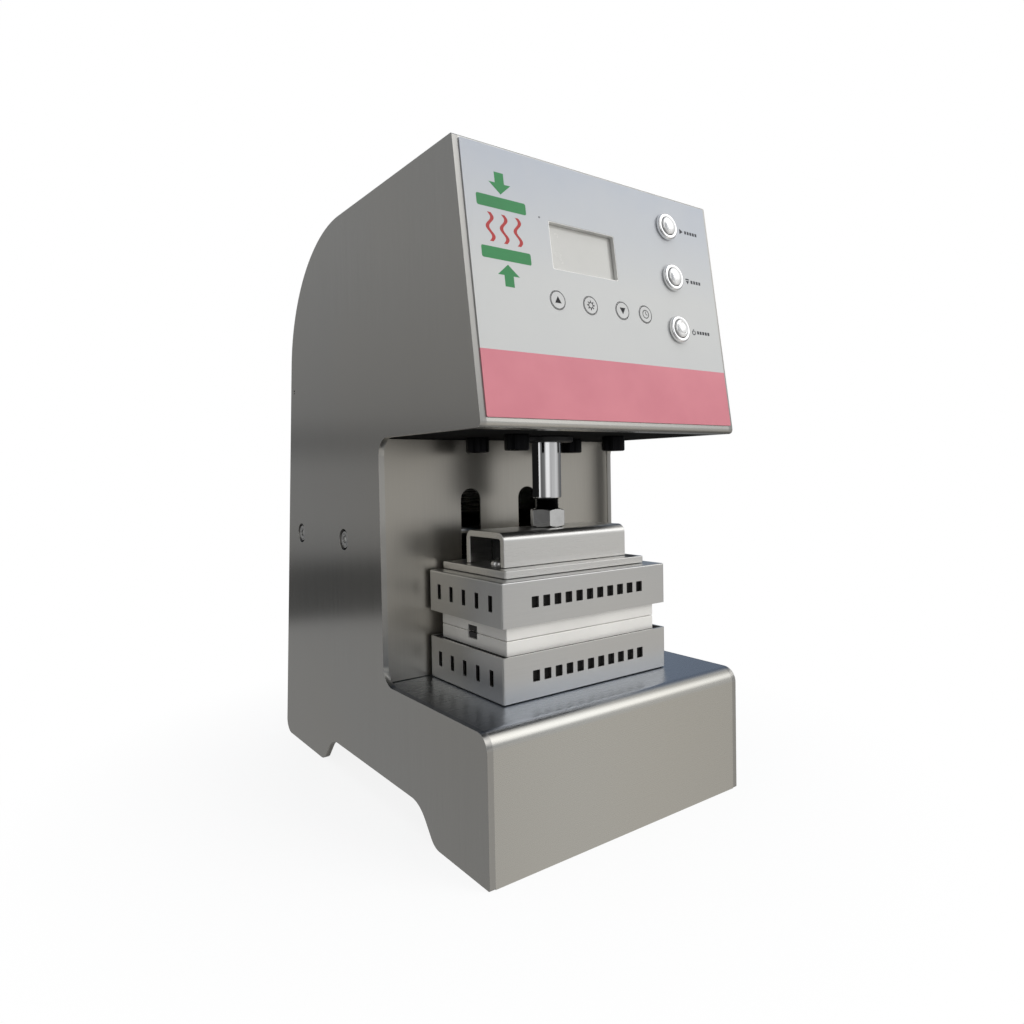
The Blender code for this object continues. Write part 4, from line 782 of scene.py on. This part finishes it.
def push_buttons():
    seat = OVERLAY_TOP + 0.0003
    rim = seat + 0.0026
    floor, bore, pitch = -0.018, 0.0063, 0.0005
    housing = [(0, floor), (bore, floor), (bore, rim - 0.0005), (bore + 0.0001, rim - 0.0002),
               (bore + 0.0004, rim)]
    housing += [(0.0090 - 0.0012 * (1 - cos(t)), rim - 0.0012 * (1 - sin(t)))
                for t in angles(0, 90, 15)[::-1]]
    housing += [(0.0090, seat + 0.0002), (0.0088, seat), (0.0078, seat)]
    housing += [(0.0078 - (0.0003 if k % 2 else 0), seat - 0.001 - pitch * k) for k in range(34)]
    housing += [(0.0078, -0.0215), (0.0074, -0.022), (0, -0.022)]
    edge = rim + 0.0004
    r, crown, stem, foot = 0.006, 0.0016, 0.003, floor + 0.0018
    for name, s in zip(("start", "release", "power"), BUTTON_SS):
        matrix = PANEL @ at(BUTTON_X, -s)
        stand_in(f"button_{name}_housing", turn(housing, 72), CHROME_BUTTON, matrix)
        turns = (radians(7.5 * k) for k in range(13))
        cap = [(r * sin(t), edge + crown * cos(t)) for t in turns]
        if name == "power":
            groove = zip((0.0032, 0.0036, 0.0040, 0.0044), (0, 0.00035, 0.00035, 0))
            cap = [p for p in cap if not 0.0030 < p[0] < 0.0046]
            cap += [(g, edge + crown * sqrt(1 - (g / r) ** 2) - depth) for g, depth in groove]
            cap.sort()
        cap += [(r, edge - 0.0078), (r - 0.0002, edge - 0.008), (stem, edge - 0.008), (stem, foot + 0.0003),
                (stem - 0.0003, foot), (0, foot)]
        stand_in(f"button_{name}_cap", turn(cap, 72), BUTTON_CAP, matrix)


def button_marks():
    """Plain symbols and dashes in place of the words beside the push buttons, and a dot beside the display."""
    z, x = OVERLAY_TOP, BUTTON_X + 0.0140
    start, release, power = (-s for s in BUTTON_SS)
    shapes = [flat([(x, start - 0.0019), (x + 0.0034, start), (x, start + 0.0019)], z),
              bar(x, release + 0.0014, x + 0.0034, release + 0.0014, 0.0009, z),
              flat([(x + 0.0017, release - 0.0020), (x + 0.0034, release + 0.0004),
                    (x, release + 0.0004)], z),
              arc_strip(0.0015, 0.0007, -230, 50, z, x + 0.0017, power - 0.0002),
              bar(x + 0.0017, power, x + 0.0017, power + 0.0022, 0.0007, z),
              ring(0.0004, 0.0004, z, -0.050, -0.038, 16)]
    for y, dashes in ((start, 5), (release, 4), (power, 5)):
        for dash in (x + 0.0050 + 0.0027 * k for k in range(dashes)):
            shapes.append(bar(dash, y, dash + 0.0019, y, 0.0022, z))
    printed("button_marks", shapes, INK_GREY)


def pictogram():
    """Two plates, an arrow towards each, and heat between them, in place of the photo's picture."""
    middle, z = -0.0765, OVERLAY_TOP
    plates = []
    for y, out in ((-0.0355, 1), (-0.0655, -1)):
        plates.append(flat(rectangle(middle - 0.017, y - 0.0035, middle + 0.017, y + 0.0035, 0.0012), z))
        tip, head, foot = y + out * 0.0055, y + out * 0.0120, y + out * 0.0185
        plates.append(flat([(middle - 0.0032, foot), (middle + 0.0032, foot), (middle + 0.0032, head),
                            (middle + 0.0075, head), (middle, tip), (middle - 0.0075, head),
                            (middle - 0.0032, head)], z))
    heat = []
    for x in (middle - 0.0095, middle, middle + 0.0095):
        wave = [(x + 0.0018 * sin(radians(t)), -0.0420 - 0.0170 * t / 540)
                for t in range(0, 541, 15)]
        heat.append(flat([(a - 0.0012, b) for a, b in wave] + [(a + 0.0012, b) for a, b in wave[::-1]], z))
    printed("pictogram_plates", plates, INK_GREEN)
    printed("pictogram_heat", heat, INK_RED)


# ---------------------------------------------------------------- ram and platens


STACK_Y = centre_of("piston_rod").y
RAM_AXIS = at(0, STACK_Y)


def cylinder_parts():
    refined("cylinder_front_cap", ANODISED, 0.0006, 3)
    refined("cylinder_rear_cap", ANODISED, 0.0006, 3)
    low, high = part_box("cylinder_barrel")
    stand_in("cylinder_barrel", tube(0.032, 0.028, low.z, high.z, 96, RAM_AXIS), ANODISED)
    low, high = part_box("piston")
    top, foot = (low.z + high.z) / 2 + 0.0028, (low.z + high.z) / 2 - 0.0028
    r, bore, groove, edge = 0.0272, 0.0063, 0.0232, 0.0006
    profile = [(bore, high.z), (r - edge, high.z), (r, high.z - edge), (r, top), (groove, top),
               (groove, foot), (r, foot), (r, low.z + edge), (r - edge, low.z), (bore, low.z)]
    stand_in("piston", turn(profile, 72, RAM_AXIS, True), ANODISED)
    low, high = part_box("piston_seal")
    profile = [(0.0277, high.z - 0.0010), (0.0277, low.z + 0.0010), (0.0272, low.z), (0.0235, low.z),
               (0.0235, high.z), (0.0272, high.z)]
    stand_in("piston_seal", turn(profile, 72, RAM_AXIS, True), RUBBER)
    low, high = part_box("rod_gland")
    top = high.z
    profile = [(0.0103, top), (0.0146, top), (0.0150, top - 0.0004), (0.0150, HEAD_UNDER),
               (0.0181, HEAD_UNDER), (0.0185, HEAD_UNDER - 0.0004), (0.0185, low.z + 0.0008),
               (0.0177, low.z), (0.0128, low.z), (0.0122, low.z + 0.0009), (0.0108, low.z + 0.0009),
               (0.0103, low.z + 0.0004)]
    stand_in("rod_gland", turn(profile, 96, RAM_AXIS, True), PLASTIC)
    for name in (f"cylinder_bolt_{number}" for number in range(1, 5)):
        centre = centre_of(name)
        seat = at(centre.x, centre.y, HEAD_UNDER) @ Matrix.Rotation(pi, 4, "X")
        socket_screw(name, seat, 0.008, 0.010, 0.005, 0.019, DARK_BOLT, 32)


def ram_rod():
    low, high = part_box("piston_rod")
    r, pin, neck = 0.010, 0.006, 0.008
    neck_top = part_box("rod_jam_nut")[1].z + 0.0072
    step_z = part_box("piston")[0].z - 0.0003
    profile = [(0, high.z), (pin - 0.0004, high.z), (pin, high.z - 0.0004), (pin, step_z),
               (r - 0.0003, step_z), (r, step_z - 0.0003), (r, neck_top + 0.0010),
               (r - 0.0002, neck_top + 0.0004), (r - 0.0010, neck_top), (neck - 0.0012, neck_top),
               (0, neck_top)]
    stand_in("piston_rod", turn(profile, 128, RAM_AXIS), CHROME)
    profile = [(0, neck_top + 0.0002), (neck - 0.0002, neck_top + 0.0002), (neck, neck_top - 0.0004)]
    z = neck_top - 0.0006
    while z > low.z + 0.0016:
        profile += [(neck, z), (neck - 0.0005, z - 0.0005)]
        z -= THREAD_PITCH
    profile += [(neck - 0.0010, low.z), (0, low.z)]
    piece("piston_rod_thread", turn(profile, 96, RAM_AXIS), DARK_BOLT, "ram")


def hex_nut(name):
    low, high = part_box(name)
    z0, z1 = low.z, high.z
    corner_r, bore, mouth = 0.0127, 0.0083, 0.0093
    face_r, round_r = corner_r * cos(pi / 6) * 0.97, corner_r * 1.02
    drop = (round_r - face_r) * 0.55
    cone = [(0, z1), (face_r, z1), (round_r, z1 - drop), (round_r, z0 + drop), (face_r, z0), (0, z0)]
    mesh = combine(disc(corner_r, z0, z1, 6, RAM_AXIS), [turn(cone, 96, RAM_AXIS)], "INTERSECT")
    hole = [(0, z1 + 0.001), (mouth, z1 + 0.001), (mouth, z1), (bore, z1 - 0.0010), (bore, z0 + 0.0010),
            (mouth, z0), (mouth, z0 - 0.001), (0, z0 - 0.001)]
    mesh = combine(mesh, [turn(hole, 64, RAM_AXIS)])
    stand_in(name, softened(mesh, 0.00025, 2, 45.0), NUT_STEEL, angle=30.0)


def bracket():
    low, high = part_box("channel_bracket")
    half, wall, bend = 0.022, 0.0042, 0.006
    inner, edge = half - wall, 0.0004
    under = high.z - wall
    outline = shifted(rounded([(-half, low.z, edge), (-inner, low.z, edge), (-inner, under, bend - wall),
                               (inner, under, bend - wall), (inner, low.z, edge), (half, low.z, edge),
                               (half, high.z, bend), (-half, high.z, bend)]), STACK_Y)
    hole = disc(0.0083, under - 0.001, high.z + 0.001, 64, RAM_AXIS)
    mesh = combine(prism(outline, low.x, high.x), [hole])
    stand_in("channel_bracket", softened(mesh, 0.0004, 3, 45.0), STEEL_BRACKET)
    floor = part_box("upper_mount_plate")[1].z
    for number, x in enumerate((-0.034, 0.034), start=1):
        baffle = softened(block((x - 0.001, STACK_Y - inner + 0.0004, floor + 0.0003),
                                (x + 0.001, STACK_Y + inner - 0.0004, under - 0.0004)), 0.0003)
        piece(f"bracket_baffle_{number}", baffle, RUBBER, "ram")
    dome = [(0.0058 * sin(t), 0.0002 + 0.0038 * cos(t)) for t in angles(30, 90, 15)]
    head = [(0, 0.0040), (0.0012, 0.0040)] + dome + [(0.0058, 0.00005), (0, 0.00005)]
    for number, x in enumerate((-0.0415, 0.0415), start=1):
        screw = combine(turn(head, 48), [disc(0.0022, 0.0018, 0.006, 6)])
        screw.transform(at(x, STACK_Y, floor))
        piece(f"bracket_screw_{number}", screw, BRIGHT, "ram")


def mount_plate():
    low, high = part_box("upper_mount_plate")
    mesh = prism(rectangle(low.x, low.y, high.x, high.y, 0.0012), low.z, high.z, "Z")
    stand_in("upper_mount_plate", softened(mesh, 0.0006, 3, 45.0), STEEL_BRACKET)


def cage(name, open_up):
    """A folded sheet box: rounded bends, corners welded and ground, side slots and a row of front vents."""
    low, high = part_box(name)
    t = 0.0015
    slots, slot_pitch, vents, vent_pitch = 5, 0.0153, 11, 0.009
    shell = prism(rectangle(low.x, low.y, high.x, high.y, 0.0011), low.z, high.z, "Z")
    closed_z = low.z if open_up else high.z
    shell = softened(shell, 0.0014, 5, 45.0, lambda e: all(abs(v.co.z - closed_z) < 1e-6 for v in e.verts))
    floor, ceiling = (low.z + t, high.z + 0.002) if open_up else (low.z - 0.002, high.z - t)
    tools = [prism(rectangle(low.x + t, low.y + t, high.x - t, high.y - t, 0.0004), floor, ceiling, "Z")]
    middle = (low.z + high.z) / 2

    def vent(a, width, height):
        return rectangle(a - width / 2, middle - height / 2, a + width / 2, middle + height / 2, 0.0005)

    for k in range(slots):
        slot = vent(STACK_Y + (k - slots // 2) * slot_pitch, 0.0042, 0.010)
        tools.append(prism(slot, low.x - 0.001, high.x + 0.001))
    for k in range(vents):
        front_vent = vent((k - vents // 2) * vent_pitch, 0.0055, 0.007)
        tools.append(prism(front_vent, low.y - 0.001, low.y + 0.003, "Y"))
    stand_in(name, softened(combine(shell, tools), 0.00018, 2, 50.0), STEEL_CAGE)


def heater(name):
    """A cartridge heater lying along X, its end faces stepped inwards."""
    low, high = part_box(name)
    half, r = (high.x - low.x) / 2, 0.0048
    end = [(0, half - 0.0008), (0.0012, half - 0.0008), (0.0016, half - 0.0002), (0.0036, half - 0.0002),
           (0.0040, half), (r - 0.0003, half), (r, half - 0.0004)]
    other_end = [(radius, -z) for radius, z in end[::-1]]
    stand_in(name, turn(end + other_end, 48, at(*centre_of(name)) @ QUARTER), SHEATH)


def platen(level, faces_up):
    low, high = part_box(f"{level}_platen")
    face = high.z if faces_up else low.z
    inward = -1 if faces_up else 1
    foot, mouth = sorted((face + inward * 0.0042, face - inward * 0.001))
    tools = [block((low.x - 0.001, STACK_Y - NOTCH_HALF, foot), (low.x + 0.003, STACK_Y + NOTCH_HALF, mouth))]
    for name in (f"{level}_heater_front", f"{level}_heater_rear"):
        tools.append(disc(0.0051, -0.070, 0.070, 48, at(*centre_of(name)) @ QUARTER))
        heater(name)
    stand_in(f"{level}_platen", combine(softened(block(low, high), 0.0006, 3), tools), PLATEN)
    inset = 0.0003
    z0, z1 = (foot + inset, face - inset) if faces_up else (face + inset, mouth - inset)
    sensor = block((low.x + 0.0006, STACK_Y - NOTCH_HALF + inset, z0),
                   (low.x + 0.003 - inset, STACK_Y + NOTCH_HALF - inset, z1))
    piece(f"{level}_sensor", softened(sensor, 0.0003), PLASTIC, BODY_OF[f"{level}_platen"])


def platen_wrap(level):
    """A strip of dark fibre round a platen, inside its cage, behind the vents; its near-black colour is painted
    shade, so that the vents look dark.
    """
    low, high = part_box(f"{level}_cage")
    p_low, p_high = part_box(f"{level}_platen")
    gap, t = 0.0004, 0.0012
    z0, z1 = max(low.z + 0.0019, p_low.z + 0.0002), min(high.z, p_high.z) - 0.0006
    if level == "upper":
        z0, z1 = max(low.z, p_low.z) + 0.0006, min(high.z - 0.0019, p_high.z - 0.0002)
    shapes = []
    for grow, over in ((gap + t, 0.0), (gap, 0.001)):
        outline = rectangle(p_low.x - grow, p_low.y - grow, p_high.x + grow, p_high.y + grow, 0.001)
        shapes.append(prism(outline, z0 - over, z1 + over, "Z"))
    mesh = softened(combine(shapes[0], shapes[1:]), 0.0002, 2, 50.0)
    piece(f"{level}_platen_wrap", mesh, FIBRE_AND_VENT_SHADE, BODY_OF[f"{level}_platen"])


# ---------------------------------------------------------------- back and inside


def rear_moulding(name, u, half, core, foot, cavity, depth, bite):
    """A moulded inlet or switch frame: a flange on the back sheet, a core behind it and a cavity in front.
    Half, core and cavity are half sizes, bite is the radius of the cavity's upper corners."""
    def outline(size, radius, upper=None):
        return rectangle(u - size[0], REAR_V - size[1], u + size[0], REAR_V + size[1], radius, upper)

    flange = softened(prism(outline(half, 0.0016), 0.0003, REAR_TOP, "Z"), 0.0005, 3, 45.0)
    behind = block((u - core[0], REAR_V - core[1], foot), (u + core[0], REAR_V + core[1], 0.0012))
    mesh = combine(flange, [behind], "UNION")
    mesh = combine(mesh, [prism(outline(cavity, 0.0008, bite), REAR_TOP - depth, REAR_TOP + 0.002, "Z")])
    stand_in(name, softened(mesh, 0.0002, 2, 50.0), PLASTIC, BACK)


def rear_connections():
    rear_moulding("power_inlet", INLET_U, (0.0155, 0.0118), (0.0135, 0.0100), -0.022,
                  (0.012, 0.008), 0.016, 0.0028)
    rear_moulding("power_switch_frame", SWITCH_U, (0.0078, 0.0115), (0.0066, 0.0100), -0.016,
                  (0.0056, 0.0092), 0.010, 0.0005)
    pins = []
    for x, y in ((-0.0055, -0.0015), (0.0055, -0.0015), (0.0, 0.0028)):
        low = (INLET_U + x - 0.001, REAR_V + y - 0.002, REAR_TOP - 0.0159)
        high = (INLET_U + x + 0.001, REAR_V + y + 0.002, REAR_TOP - 0.0035)
        pins.append(softened(block(low, high), 0.0005))
    piece("inlet_pins", joined(pins), BRASS, "body", matrix=BACK)


def rocker():
    half_x, half_y, rise, bulge = 0.0052, 0.0084, 0.0018, 0.0014
    crown = [(half_y * (1 - 2 * k / 16), rise + bulge * (1 - 2 * k / 16) ** 2) for k in range(17)]
    outline = [(-a, b) for a, b in crown]
    outline += [(half_y * 0.95, -0.0015), (half_y * 0.4, -0.0045), (-half_y * 0.4, -0.0045),
                (-half_y * 0.95, -0.0015)]
    tilt = BACK @ at(SWITCH_U, REAR_V) @ Matrix.Rotation(radians(8.0), 4, "X")
    stand_in("power_switch_rocker", softened(prism(outline, -half_x, half_x), 0.0003, 2, 30.0), PLASTIC, tilt)
    mark_y = 0.0048
    z = rise + bulge * (mark_y / half_y) ** 2 + 0.00003
    lean = atan(2 * bulge * mark_y / half_y ** 2)
    marks = [ring(0.0013, 0.0005, 0), bar(0, -0.0015, 0, 0.0015, 0.0005, 0)]
    for mark, side in zip(marks, (1, -1)):
        mark.transform(at(0, side * mark_y, z) @ Matrix.Rotation(side * lean, 4, "X"))
    printed("rocker_marks", marks, MARK_WHITE, tilt, "rocker")


def nipple():
    cone = turn([(0, 0.0053), (0.0080, 0.0053), (0.0098, 0.0043), (0.0098, 0.0008), (0.0088, 0.0003),
                 (0, 0.0003)], 72)
    mesh = combine(disc(0.0095, 0.0003, 0.0053, 6), [cone], "INTERSECT")
    thread = [(0, 0.001), (0.0065, 0.001), (0.0065, -0.0006)]
    for z in (-0.0010 - 0.0009 * k for k in range(12)):
        thread += [(0.0060, z), (0.0065, z - 0.0004)]
    thread += [(0.0060, -0.012), (0, -0.012)]
    r = 0.0035
    plug = [(0, 0.0118), (r - 0.0010, 0.0118), (r - 0.0004, 0.0115), (r, 0.0108), (r, 0.0098),
            (r - 0.0009, 0.0091), (r - 0.0010, 0.0087), (r - 0.0009, 0.0082), (r + 0.0007, 0.0076),
            (r + 0.0010, 0.0072), (r + 0.0010, 0.0040), (0, 0.0040)]
    mesh = combine(mesh, [turn(thread, 48), turn(plug, 48)], "UNION")
    bore = turn([(0, 0.0125), (0.0019, 0.0125), (0.0016, 0.0114), (0.0016, 0.002), (0, 0.002)], 32)
    stand_in("air_nipple", combine(mesh, [bore]), BRASS, BACK @ at(*NIPPLE), angle=30.0)


def inner_parts():
    refined("control_board", BOARD, 0.0002)
    for name, material in (("power_supply", ANODISED), ("heater_relay_lower", PLASTIC),
                           ("heater_relay_upper", PLASTIC), ("solenoid_valve", ANODISED),
                           ("lower_insulator", MICA_AND_SHADE), ("upper_insulator", MICA_AND_SHADE)):
        refined(name, material)


side_plates()
body_sheets()
throat_wall()
inner_plates()
side_bolts()
panel_overlay()
display_window()
keys()
push_buttons()
button_marks()
pictogram()
cylinder_parts()
ram_rod()
hex_nut("rod_jam_nut")
hex_nut("rod_lock_nut")
bracket()
mount_plate()
cage("lower_cage", True)
cage("upper_cage", False)
platen("lower", True)
platen("upper", False)
platen_wrap("lower")
platen_wrap("upper")
rear_connections()
rocker()
nipple()
inner_parts()


# ---------------------------------------------------------------- stage, light and camera


def emitter(name, strength):
    material = bpy.data.materials.new(name)
    material.use_nodes = True
    tree = material.node_tree
    tree.nodes.clear()
    glow = node(tree, "Emission", {"Strength": strength})
    tree.links.new(glow.outputs[0], node(tree, "OutputMaterial").inputs[0])
    return material


def rays(obj, camera=False, glossy=False):
    """Which rays see a thing of the stage. None of these things casts a shadow."""
    obj.visible_camera = camera
    obj.visible_glossy = glossy
    obj.visible_diffuse = False
    obj.visible_transmission = False
    obj.visible_volume_scatter = False
    obj.visible_shadow = False


def stage_mesh(name, mesh, material):
    obj = linked(name, mesh)
    mesh.materials.append(material)
    return obj


def flag(name, centre, facing, width, height):
    """A dark panel that only reflections see."""
    bm = bmesh.new()
    bmesh.ops.create_grid(bm, x_segments=1, y_segments=1, size=0.5)
    obj = stage_mesh(name, solid(bm), emitter(name, 0.01))
    turn_to = (Vector(facing) - Vector(centre)).to_track_quat("Z", "Y").to_matrix().to_4x4()
    obj.matrix_world = at(*centre) @ turn_to @ Matrix.Diagonal((width, height, 1, 1))
    rays(obj, glossy=True)


def area_light(name, centre, width, height, power, colour):
    """A soft light aimed at the press. Metal doesn't mirror it."""
    data = bpy.data.lights.new(name, "AREA")
    data.shape = "RECTANGLE"
    data.size, data.size_y = width, height
    data.energy = power
    data.color = colour
    obj = linked(name, data)
    aim = (Vector((0, 0, 0.2)) - Vector(centre)).to_track_quat("-Z", "Y").to_matrix().to_4x4()
    obj.matrix_world = at(*centre) @ aim
    obj.visible_glossy = False
    obj.visible_camera = False


def ramp(tree, value, low, high, stops):
    """A colour looked up along a value: stops are (value, grey or colour)."""
    made = node(tree, "ValToRGB", {"Fac": remap(tree, value, low, high, 0.0, 1.0)})
    elements = made.color_ramp.elements
    while len(elements) > 1:
        elements.remove(elements[-1])
    for number, (at_value, colour) in enumerate(stops):
        position = (at_value - low) / (high - low)
        element = elements[0] if number == 0 else elements.new(position)
        element.position = position
        element.color = (*colour, 1.0) if isinstance(colour, tuple) else (colour, colour, colour, 1.0)
    return made.outputs["Color"]


def studio_sky():
    """What the metal reflects, by compass direction (0 is behind the press, 90 its right) and height."""
    world = bpy.data.worlds.new("studio")
    bpy.context.scene.world = world
    world.use_nodes = True
    tree = world.node_tree
    split = node(tree, "SeparateXYZ", {"Vector": node(tree, "TexCoord").outputs["Generated"]})
    x, y, z = (split.outputs[k] for k in "XYZ")
    compass = maths(tree, "MULTIPLY", maths(tree, "ARCTAN2", x, y), degrees(1.0))
    height = maths(tree, "MULTIPLY", maths(tree, "ARCSINE", z), degrees(1.0))
    sky = ramp(tree, height, -30.0, 90.0, SKY_FRONT)
    for zone, column in SKY_ZONES:
        inside = ramp(tree, compass, -180.0, 180.0, zone)
        sky = mix(tree, inside, sky, ramp(tree, height, -30.0, 90.0, column))
    around = ramp(tree, compass, -180.0, 180.0, SKY_AROUND)
    sky = mix(tree, 1.0, around, sky, blend_type="MULTIPLY")
    tree.links.new(sky, tree.nodes["Background"].inputs["Color"])
    tree.nodes["Background"].inputs["Strength"].default_value = SKY_STRENGTH


# Stops of the sky's ramps: (degrees, grey or colour)
SKY_STRENGTH = 2.0
SKY_AROUND = [(-180.0, 0.26), (-172.0, 0.25), (-160.0, 0.50), (-140.0, 0.50), (-126.0, 0.10), (-96.0, 0.06),
              (-84.0, 0.50), (-74.0, 0.50), (-66.0, 0.163), (-10.0, 0.163), (10.0, 0.22), (36.0, 0.20),
              (50.0, 0.135), (84.0, 0.10), (104.0, 0.10), (124.0, 0.31), (134.0, 0.36), (144.0, 0.385),
              (150.0, 0.285), (168.0, 0.26), (180.0, 0.26)]
SKY_LEFT = [(-30.0, 1.0), (-11.0, 1.0), (-10.6, 0.26), (-7.2, 0.22), (-5.6, 0.72), (-3.5, 0.84), (0.5, 0.80),
            (2.5, 0.50), (4.5, 0.78), (8.0, 0.86), (17.0, 1.0), (60.0, (1.0, 1.08, 1.2)),
            (90.0, (1.0, 1.1, 1.3))]
SKY_FRONT = [(-30.0, (0.92, 0.89, 0.84)), (-14.0, (0.92, 0.89, 0.84)), (-8.0, 0.86), (0.0, 0.9), (14.0, 1.0),
             (19.0, 2.0), (25.0, 2.7), (31.0, 2.8), (66.0, 2.8), (74.0, (0.9, 0.97, 1.1)),
             (90.0, (0.8, 0.9, 1.1))]
SKY_CORNER = [(-30.0, 0.88), (-10.0, 0.86), (-3.0, 1.08), (2.0, 1.0), (4.0, 0.7), (8.0, (0.16, 0.2, 0.26)),
              (34.0, (0.16, 0.2, 0.26)), (42.0, 2.6), (58.0, 2.6), (66.0, 0.9), (90.0, (0.8, 0.9, 1.1))]
SKY_WINDOW = [(-30.0, 0.32), (-10.0, 0.30), (-5.0, 0.9), (0.0, 1.0), (36.0, 1.1), (44.0, 0.6),
              (90.0, (0.5, 0.55, 0.65))]
SKY_BACK = [(-30.0, 0.6), (-4.0, 0.6), (0.0, (0.82, 0.94, 1.12)), (20.0, (0.80, 0.95, 1.16)),
            (50.0, (0.9, 1.0, 1.2)), (90.0, (0.8, 0.9, 1.1))]
# Where along the compass each column of heights holds: later ones cover earlier ones
SKY_ZONES = [([(146.0, 0.0), (150.0, 1.0), (180.0, 1.0)], SKY_CORNER),
             ([(-178.0, 0.0), (-172.0, 1.0), (-70.0, 1.0), (-64.0, 0.0)], SKY_WINDOW),
             ([(-72.0, 0.0), (-62.0, 1.0), (-14.0, 1.0), (-4.0, 0.0)], SKY_LEFT),
             ([(-14.0, 0.0), (-2.0, 1.0), (70.0, 1.0), (84.0, 0.0)], SKY_BACK)]


def studio():
    # the floor that the camera sees, which fades to plain white away from the press
    material, tree, main = shader("studio_floor", Roughness=0.9, Specular_IOR_Level=0.1)
    grain = noise(tree, 300.0, detail=3.0)
    feed(tree, main, Base_Color=blend(tree, grain, 0.3, 0.7, (0.88, 0.88, 0.88), (0.92, 0.92, 0.92)))
    reach = node(tree, "VectorMath", {0: place(tree)}, operation="LENGTH").outputs["Value"]
    glow = node(tree, "Emission", {"Strength": 1.0})
    white = remap(tree, reach, 0.14, 0.34, 0.87, 1.0)
    faded = node(tree, "MixShader", {0: white, 1: main.outputs[0], 2: glow.outputs[0]})
    tree.links.new(faded.outputs[0], tree.nodes["Material Output"].inputs[0])
    bm = bmesh.new()
    bmesh.ops.create_circle(bm, cap_ends=True, segments=96, radius=14.0)
    floor = stage_mesh("studio_floor", solid(bm), material)
    floor.location.z = -0.00005
    rays(floor, camera=True)
    # a white dome behind everything, seen only by the camera
    bm = bmesh.new()
    bmesh.ops.create_uvsphere(bm, u_segments=48, v_segments=24, radius=20.0)
    rays(stage_mesh("backdrop", solid(bm), emitter("backdrop", 1.0)), camera=True)
    studio_sky()
    # dark cards for the wall's right end and for the black band in the rod
    flag("flag_right", (0.108, -0.0530, 0.185), (-0.5, -0.0530, 0.185), 0.016, 0.125)
    rod_low, rod_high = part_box("rod_jam_nut")[1].z + 0.0075, 0.247
    middle, length = (rod_low + rod_high) / 2, rod_high - rod_low
    flag("flag_rod", (-0.0046, STACK_Y + 0.0127, middle), (0, STACK_Y, middle), 0.022, length)
    flag("flag_rod_side", (-0.0120, STACK_Y + 0.0064, middle), (0.0699, STACK_Y - 0.0510, middle), 0.019,
         length)
    area_light("key", (1.2, -2.0, 0.9), 1.4, 1.2, 30.0, (1.0, 0.99, 0.97))
    area_light("top", (-0.1, -0.3, 2.3), 1.6, 1.6, 12.0, (0.94, 0.97, 1.0))


def place_camera():
    yaw, pitch, roll = radians(36.40), radians(-1.52), radians(-1.00)
    forward = Vector((sin(yaw) * cos(pitch), cos(yaw) * cos(pitch), sin(pitch)))
    right = Vector((cos(yaw), -sin(yaw), 0))
    up = right.cross(forward)
    x_axis = right * cos(roll) + up * sin(roll)
    y_axis = up * cos(roll) - right * sin(roll)
    data = bpy.data.cameras.new("camera")
    data.sensor_width = 36.0
    data.lens = 25.67
    data.shift_x = -0.0068
    data.shift_y = -0.0202
    data.clip_start = 0.01
    camera = linked("camera", data)
    turn_to = Matrix((x_axis, y_axis, -forward)).transposed().to_4x4()
    camera.matrix_world = at(-0.3171, -0.4793, 0.2241) @ turn_to
    bpy.context.scene.camera = camera


studio()
place_camera()
bpy.context.scene.view_settings.view_transform = "Standard"
